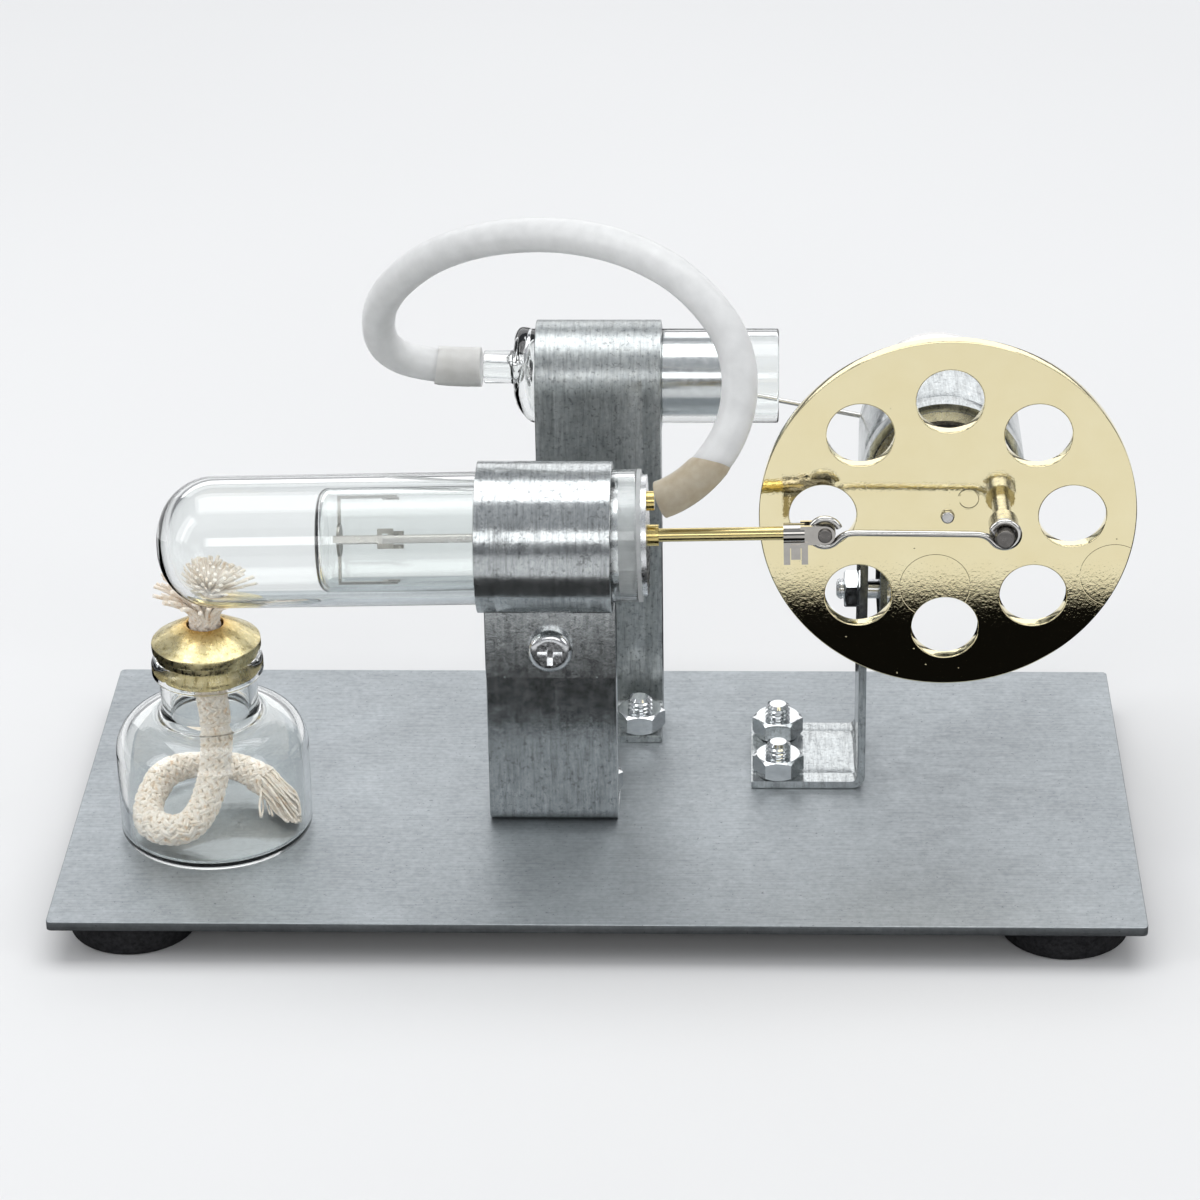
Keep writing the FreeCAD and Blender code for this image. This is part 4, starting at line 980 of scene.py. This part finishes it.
def feet():
    for end in ("front", "rear"):
        for side in ("left", "right"):
            name = f"foot_{end}_{side}"
            outline = [(0, 0), (0, 9.6), (2.6, 10.0), (5.2, 9.7), (5.5, 9.4), (5.5, 0)]
            profile = rounded(outline, {1: 0.8, 2: 3.0}, 6)
            pad = lathe("pad_" + name, profile, foot_of(name), UP, "foam", "engine", 72,
                        stands_for=(name,))


# -------- wire links
def eye_wire(radius, toward, lead):
    """Half of a wire link in mm: from the shank's line into an open eye round the origin."""
    start = Vector((toward * (radius + lead), 0, 0))
    join = math.radians(42)
    meet = Vector((toward * radius * math.cos(join), 0, radius * math.sin(join)))
    into = Vector((-toward * math.sin(join), 0, math.cos(join)))
    line = []
    for step in range(10):
        t = step / 10
        a = start
        b = start - Vector((toward * lead * 0.75, 0, 0))
        c = meet - into * lead * 0.45
        line.append(a * (1 - t) ** 3 + 3 * b * t * (1 - t) ** 2 + 3 * c * t * t * (1 - t) + meet * t ** 3)
    for step in range(49):
        angle = join + math.radians(296) * step / 48
        line.append(Vector((toward * radius * math.cos(angle), 0, radius * math.sin(angle))))
    return line


def wire_link(name, node, first, second, radii, wire, body):
    """A bent wire connecting rod from one pivot to the other, in mm."""
    first, second = Vector(first), Vector(second)
    along = (second - first).normalized()
    up = Vector((0, -1, 0)).cross(along) * -1
    turn = Matrix((along, Vector((0, 1, 0)), up)).transposed()
    left = [first + turn @ spot for spot in eye_wire(radii[0], 1, 2.6)]
    right = [second + turn @ spot for spot in eye_wire(radii[1], -1, 2.6)]
    line = [spot * MM for spot in [*reversed(left), *right]]
    work = sweep(bmesh.new(), line, wire / 2 * MM, 16)
    return piece(name, work, "wire", body, 60.0, (node,))


def wire_links():
    pin, head = middle_of("clevis_pin") / MM, middle_of("front_crank_screw") / MM
    wire_link("displacer_link_wire", "displacer_conrod", (pin.x, HOT_MIDDLE.y / MM, pin.z),
              (head.x, HOT_MIDDLE.y / MM, head.z), (2.2, 2.05), 1.0, "displacer_link")
    wrist, head = middle_of("wrist_pin") / MM, middle_of("rear_crank_screw") / MM
    wire_link("power_link_wire", "power_conrod", (wrist.x, POWER_MIDDLE.y / MM, wrist.z),
              (head.x, POWER_MIDDLE.y / MM, head.z), (1.25, 1.7), 0.8, "piston_link")


# -------- screw threads
FOOT_THREAD = (1.7, 2.0, 0.7)  # root radius, crest radius and pitch in mm
CLAMP_THREAD = (1.5, 1.62, 0.5)


def threads():
    """Thread ridges on the studs above the foot nuts and on the clamp screws' ends."""
    work = bmesh.new()
    middle = middle_of("base_plate")
    nut_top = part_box("hot_foot_nuts")[1].z
    stud_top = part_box("hot_foot_bolts")[1].z
    for spot in bolt_spots():
        start = Vector((middle.x + spot.x * MM, middle.y + spot.y * MM, nut_top - 0.5 * MM))
        thread(work, start, UP, (stud_top - start.z) / MM - 0.35, *FOOT_THREAD)
    for name, away in (("hot", Vector((0, 1, 0))), ("power", Vector((0, -1, 0))),
                       ("bearing", Vector((-1, 0, 0)))):
        nut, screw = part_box(name + "_clamp_nut"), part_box(name + "_clamp_screw")
        at = (nut[0] + nut[1]) / 2
        half = max(abs((nut[1] - nut[0]).dot(away)) / 2 - 0.4 * MM, 0)
        tip = screw[1] if away.x + away.y > 0 else screw[0]
        reach = abs((tip - at).dot(away)) - half
        thread(work, at + away * half, away, reach / MM - 0.3, *CLAMP_THREAD)
    piece("stud_threads", work, "zinc", "engine", 20.0)


def finish_cad_nodes():
    """Each CAD part that stays gets its own finish."""
    wanted = {
        "zinc": ["clamp_nut", "foot_bolts", "foot_nuts"], "screw": ["clamp_screw"],
        "clip": ["clevis_clip"],
        "aluminium": ["cold_end_plug"], "frosted": ["plug_seal"], "gland": ["rod_gland", "hose_nipple"],
        "housing": ["bearing_housing", "flywheel_hub"], "piston": ["power_piston"],
        "steel": ["crankshaft", "bearing_outer", "bearing_inner", "rear_crank_disc", "bearing_balls",
                  "front_crank_pin", "wrist_pin"],
        # the bearing cover in the housing's recess takes the near-black finish
        "rubber": ["bearing_cover"], "dark": ["front_crank_screw", "rear_crank_screw", "clevis_pin"],
        "spring": ["displacer_claw", "displacer_rod"], "brass": ["rod_sleeve"],
    }
    for name, node in NODES.items():
        if node.hide_render:
            continue
        for finish, words in wanted.items():
            if any(name.endswith(word) for word in words):
                paint(node, finish)


# -------- floor and light
def studio_world():
    """A soft grey sky that is pale to the camera and falls off toward the horizon in reflections."""
    world = bpy.data.worlds.new("studio")
    bpy.context.scene.world = world
    world.use_nodes = True
    tree = world.node_tree
    place = tree.nodes.new("ShaderNodeTexCoord").outputs["Generated"]
    split = tree.nodes.new("ShaderNodeSeparateXYZ")
    tree.links.new(place, split.inputs[0])
    ramp = tree.nodes.new("ShaderNodeValToRGB")
    ladder = ramp.color_ramp.elements
    ladder[0].position, ladder[0].color = 0.0, (0.20, 0.205, 0.22, 1)
    ladder[1].position, ladder[1].color = 0.85, (0.60, 0.62, 0.65, 1)
    tree.links.new(split.outputs["Z"], ramp.inputs["Fac"])
    rays = tree.nodes.new("ShaderNodeLightPath")
    mix = tree.nodes.new("ShaderNodeMix")
    mix.data_type = "RGBA"
    mix.inputs[7].default_value = (0.86, 0.87, 0.88, 1)
    tree.links.new(rays.outputs["Is Camera Ray"], mix.inputs["Factor"])
    tree.links.new(ramp.outputs["Color"], mix.inputs[6])
    tree.links.new(mix.outputs[2], tree.nodes["Background"].inputs["Color"])
    tree.nodes["Background"].inputs["Strength"].default_value = 0.8


def studio_floor():
    """A pale matt floor. Metal sees it as a dark table, with a pale room in front and behind."""
    bpy.ops.mesh.primitive_plane_add(size=8.0)
    floor = bpy.context.object
    floor.name = "studio_floor"
    s = Shader("studio_floor", Roughness=0.75, Specular_IOR_Level=0.0)
    pale = s.ramp(s.noise(0.4, 2.0), (0.3, 0.74), (0.7, 0.77))
    split = s.add("SeparateXYZ")
    s.link(s.place, split.inputs[0])
    off_middle = s.add("Math", operation="ABSOLUTE")
    s.link(split.outputs["Y"], off_middle.inputs[0])
    beyond_table = s.between(off_middle.outputs["Value"], 0.109, 0.115)
    mirrored = s.ramp(beyond_table, (0.0, 0.004), (1.0, 0.78))
    rays = s.add("LightPath")
    gloss_only = s.add("Math", operation="SUBTRACT", use_clamp=True)
    s.link(rays.outputs["Is Glossy Ray"], gloss_only.inputs[0])
    s.link(rays.outputs["Is Transmission Ray"], gloss_only.inputs[1])
    mix = s.add("Mix", data_type="RGBA")
    s.link(gloss_only.outputs["Value"], mix.inputs["Factor"])
    s.link(pale, mix.inputs[6])
    s.link(mirrored, mix.inputs[7])
    s.drive("Base Color", mix.outputs[2])
    floor.data.materials.append(s.material)


def lamp(name, at, aim, wide, deep, power):
    """A rectangular soft box, in metres and watts."""
    data = bpy.data.lights.new(name, "AREA")
    data.shape = "RECTANGLE"
    data.size, data.size_y, data.energy = wide, deep, power
    light = bpy.data.objects.new(name, data)
    light.location = at
    light.rotation_euler = (Vector(aim) - Vector(at)).to_track_quat("-Z", "Y").to_euler()
    bpy.context.scene.collection.objects.link(light)


def studio():
    studio_world()
    studio_floor()
    lamp("overhead_box", (0.0, 0.10, 0.75), (0, 0, 0.05), 0.9, 0.5, 3.6)
    lamp("back_box", (0.0, 0.9, 0.42), (0, 0, 0.02), 1.6, 0.5, 3.2)
    lamp("front_box", (0.1, -1.15, 0.6), (0, 0, 0.05), 1.1, 0.35, 2.6)
    lamp("left_box", (-0.7, -0.25, 0.45), (0, 0, 0.05), 0.25, 0.6, 1.5)
    lamp("right_box", (0.75, -0.35, 0.5), (0, 0, 0.05), 0.25, 0.6, 1.2)
    bpy.context.scene.view_settings.view_transform = "Standard"


def main():
    camera()
    air_hose()
    wick()
    hot_glass()
    displacer_glass()
    power_glass()
    burner()
    base_sheet()
    feet()
    brackets()
    flywheel()
    wire_links()
    threads()
    finish_cad_nodes()
    studio()


main()
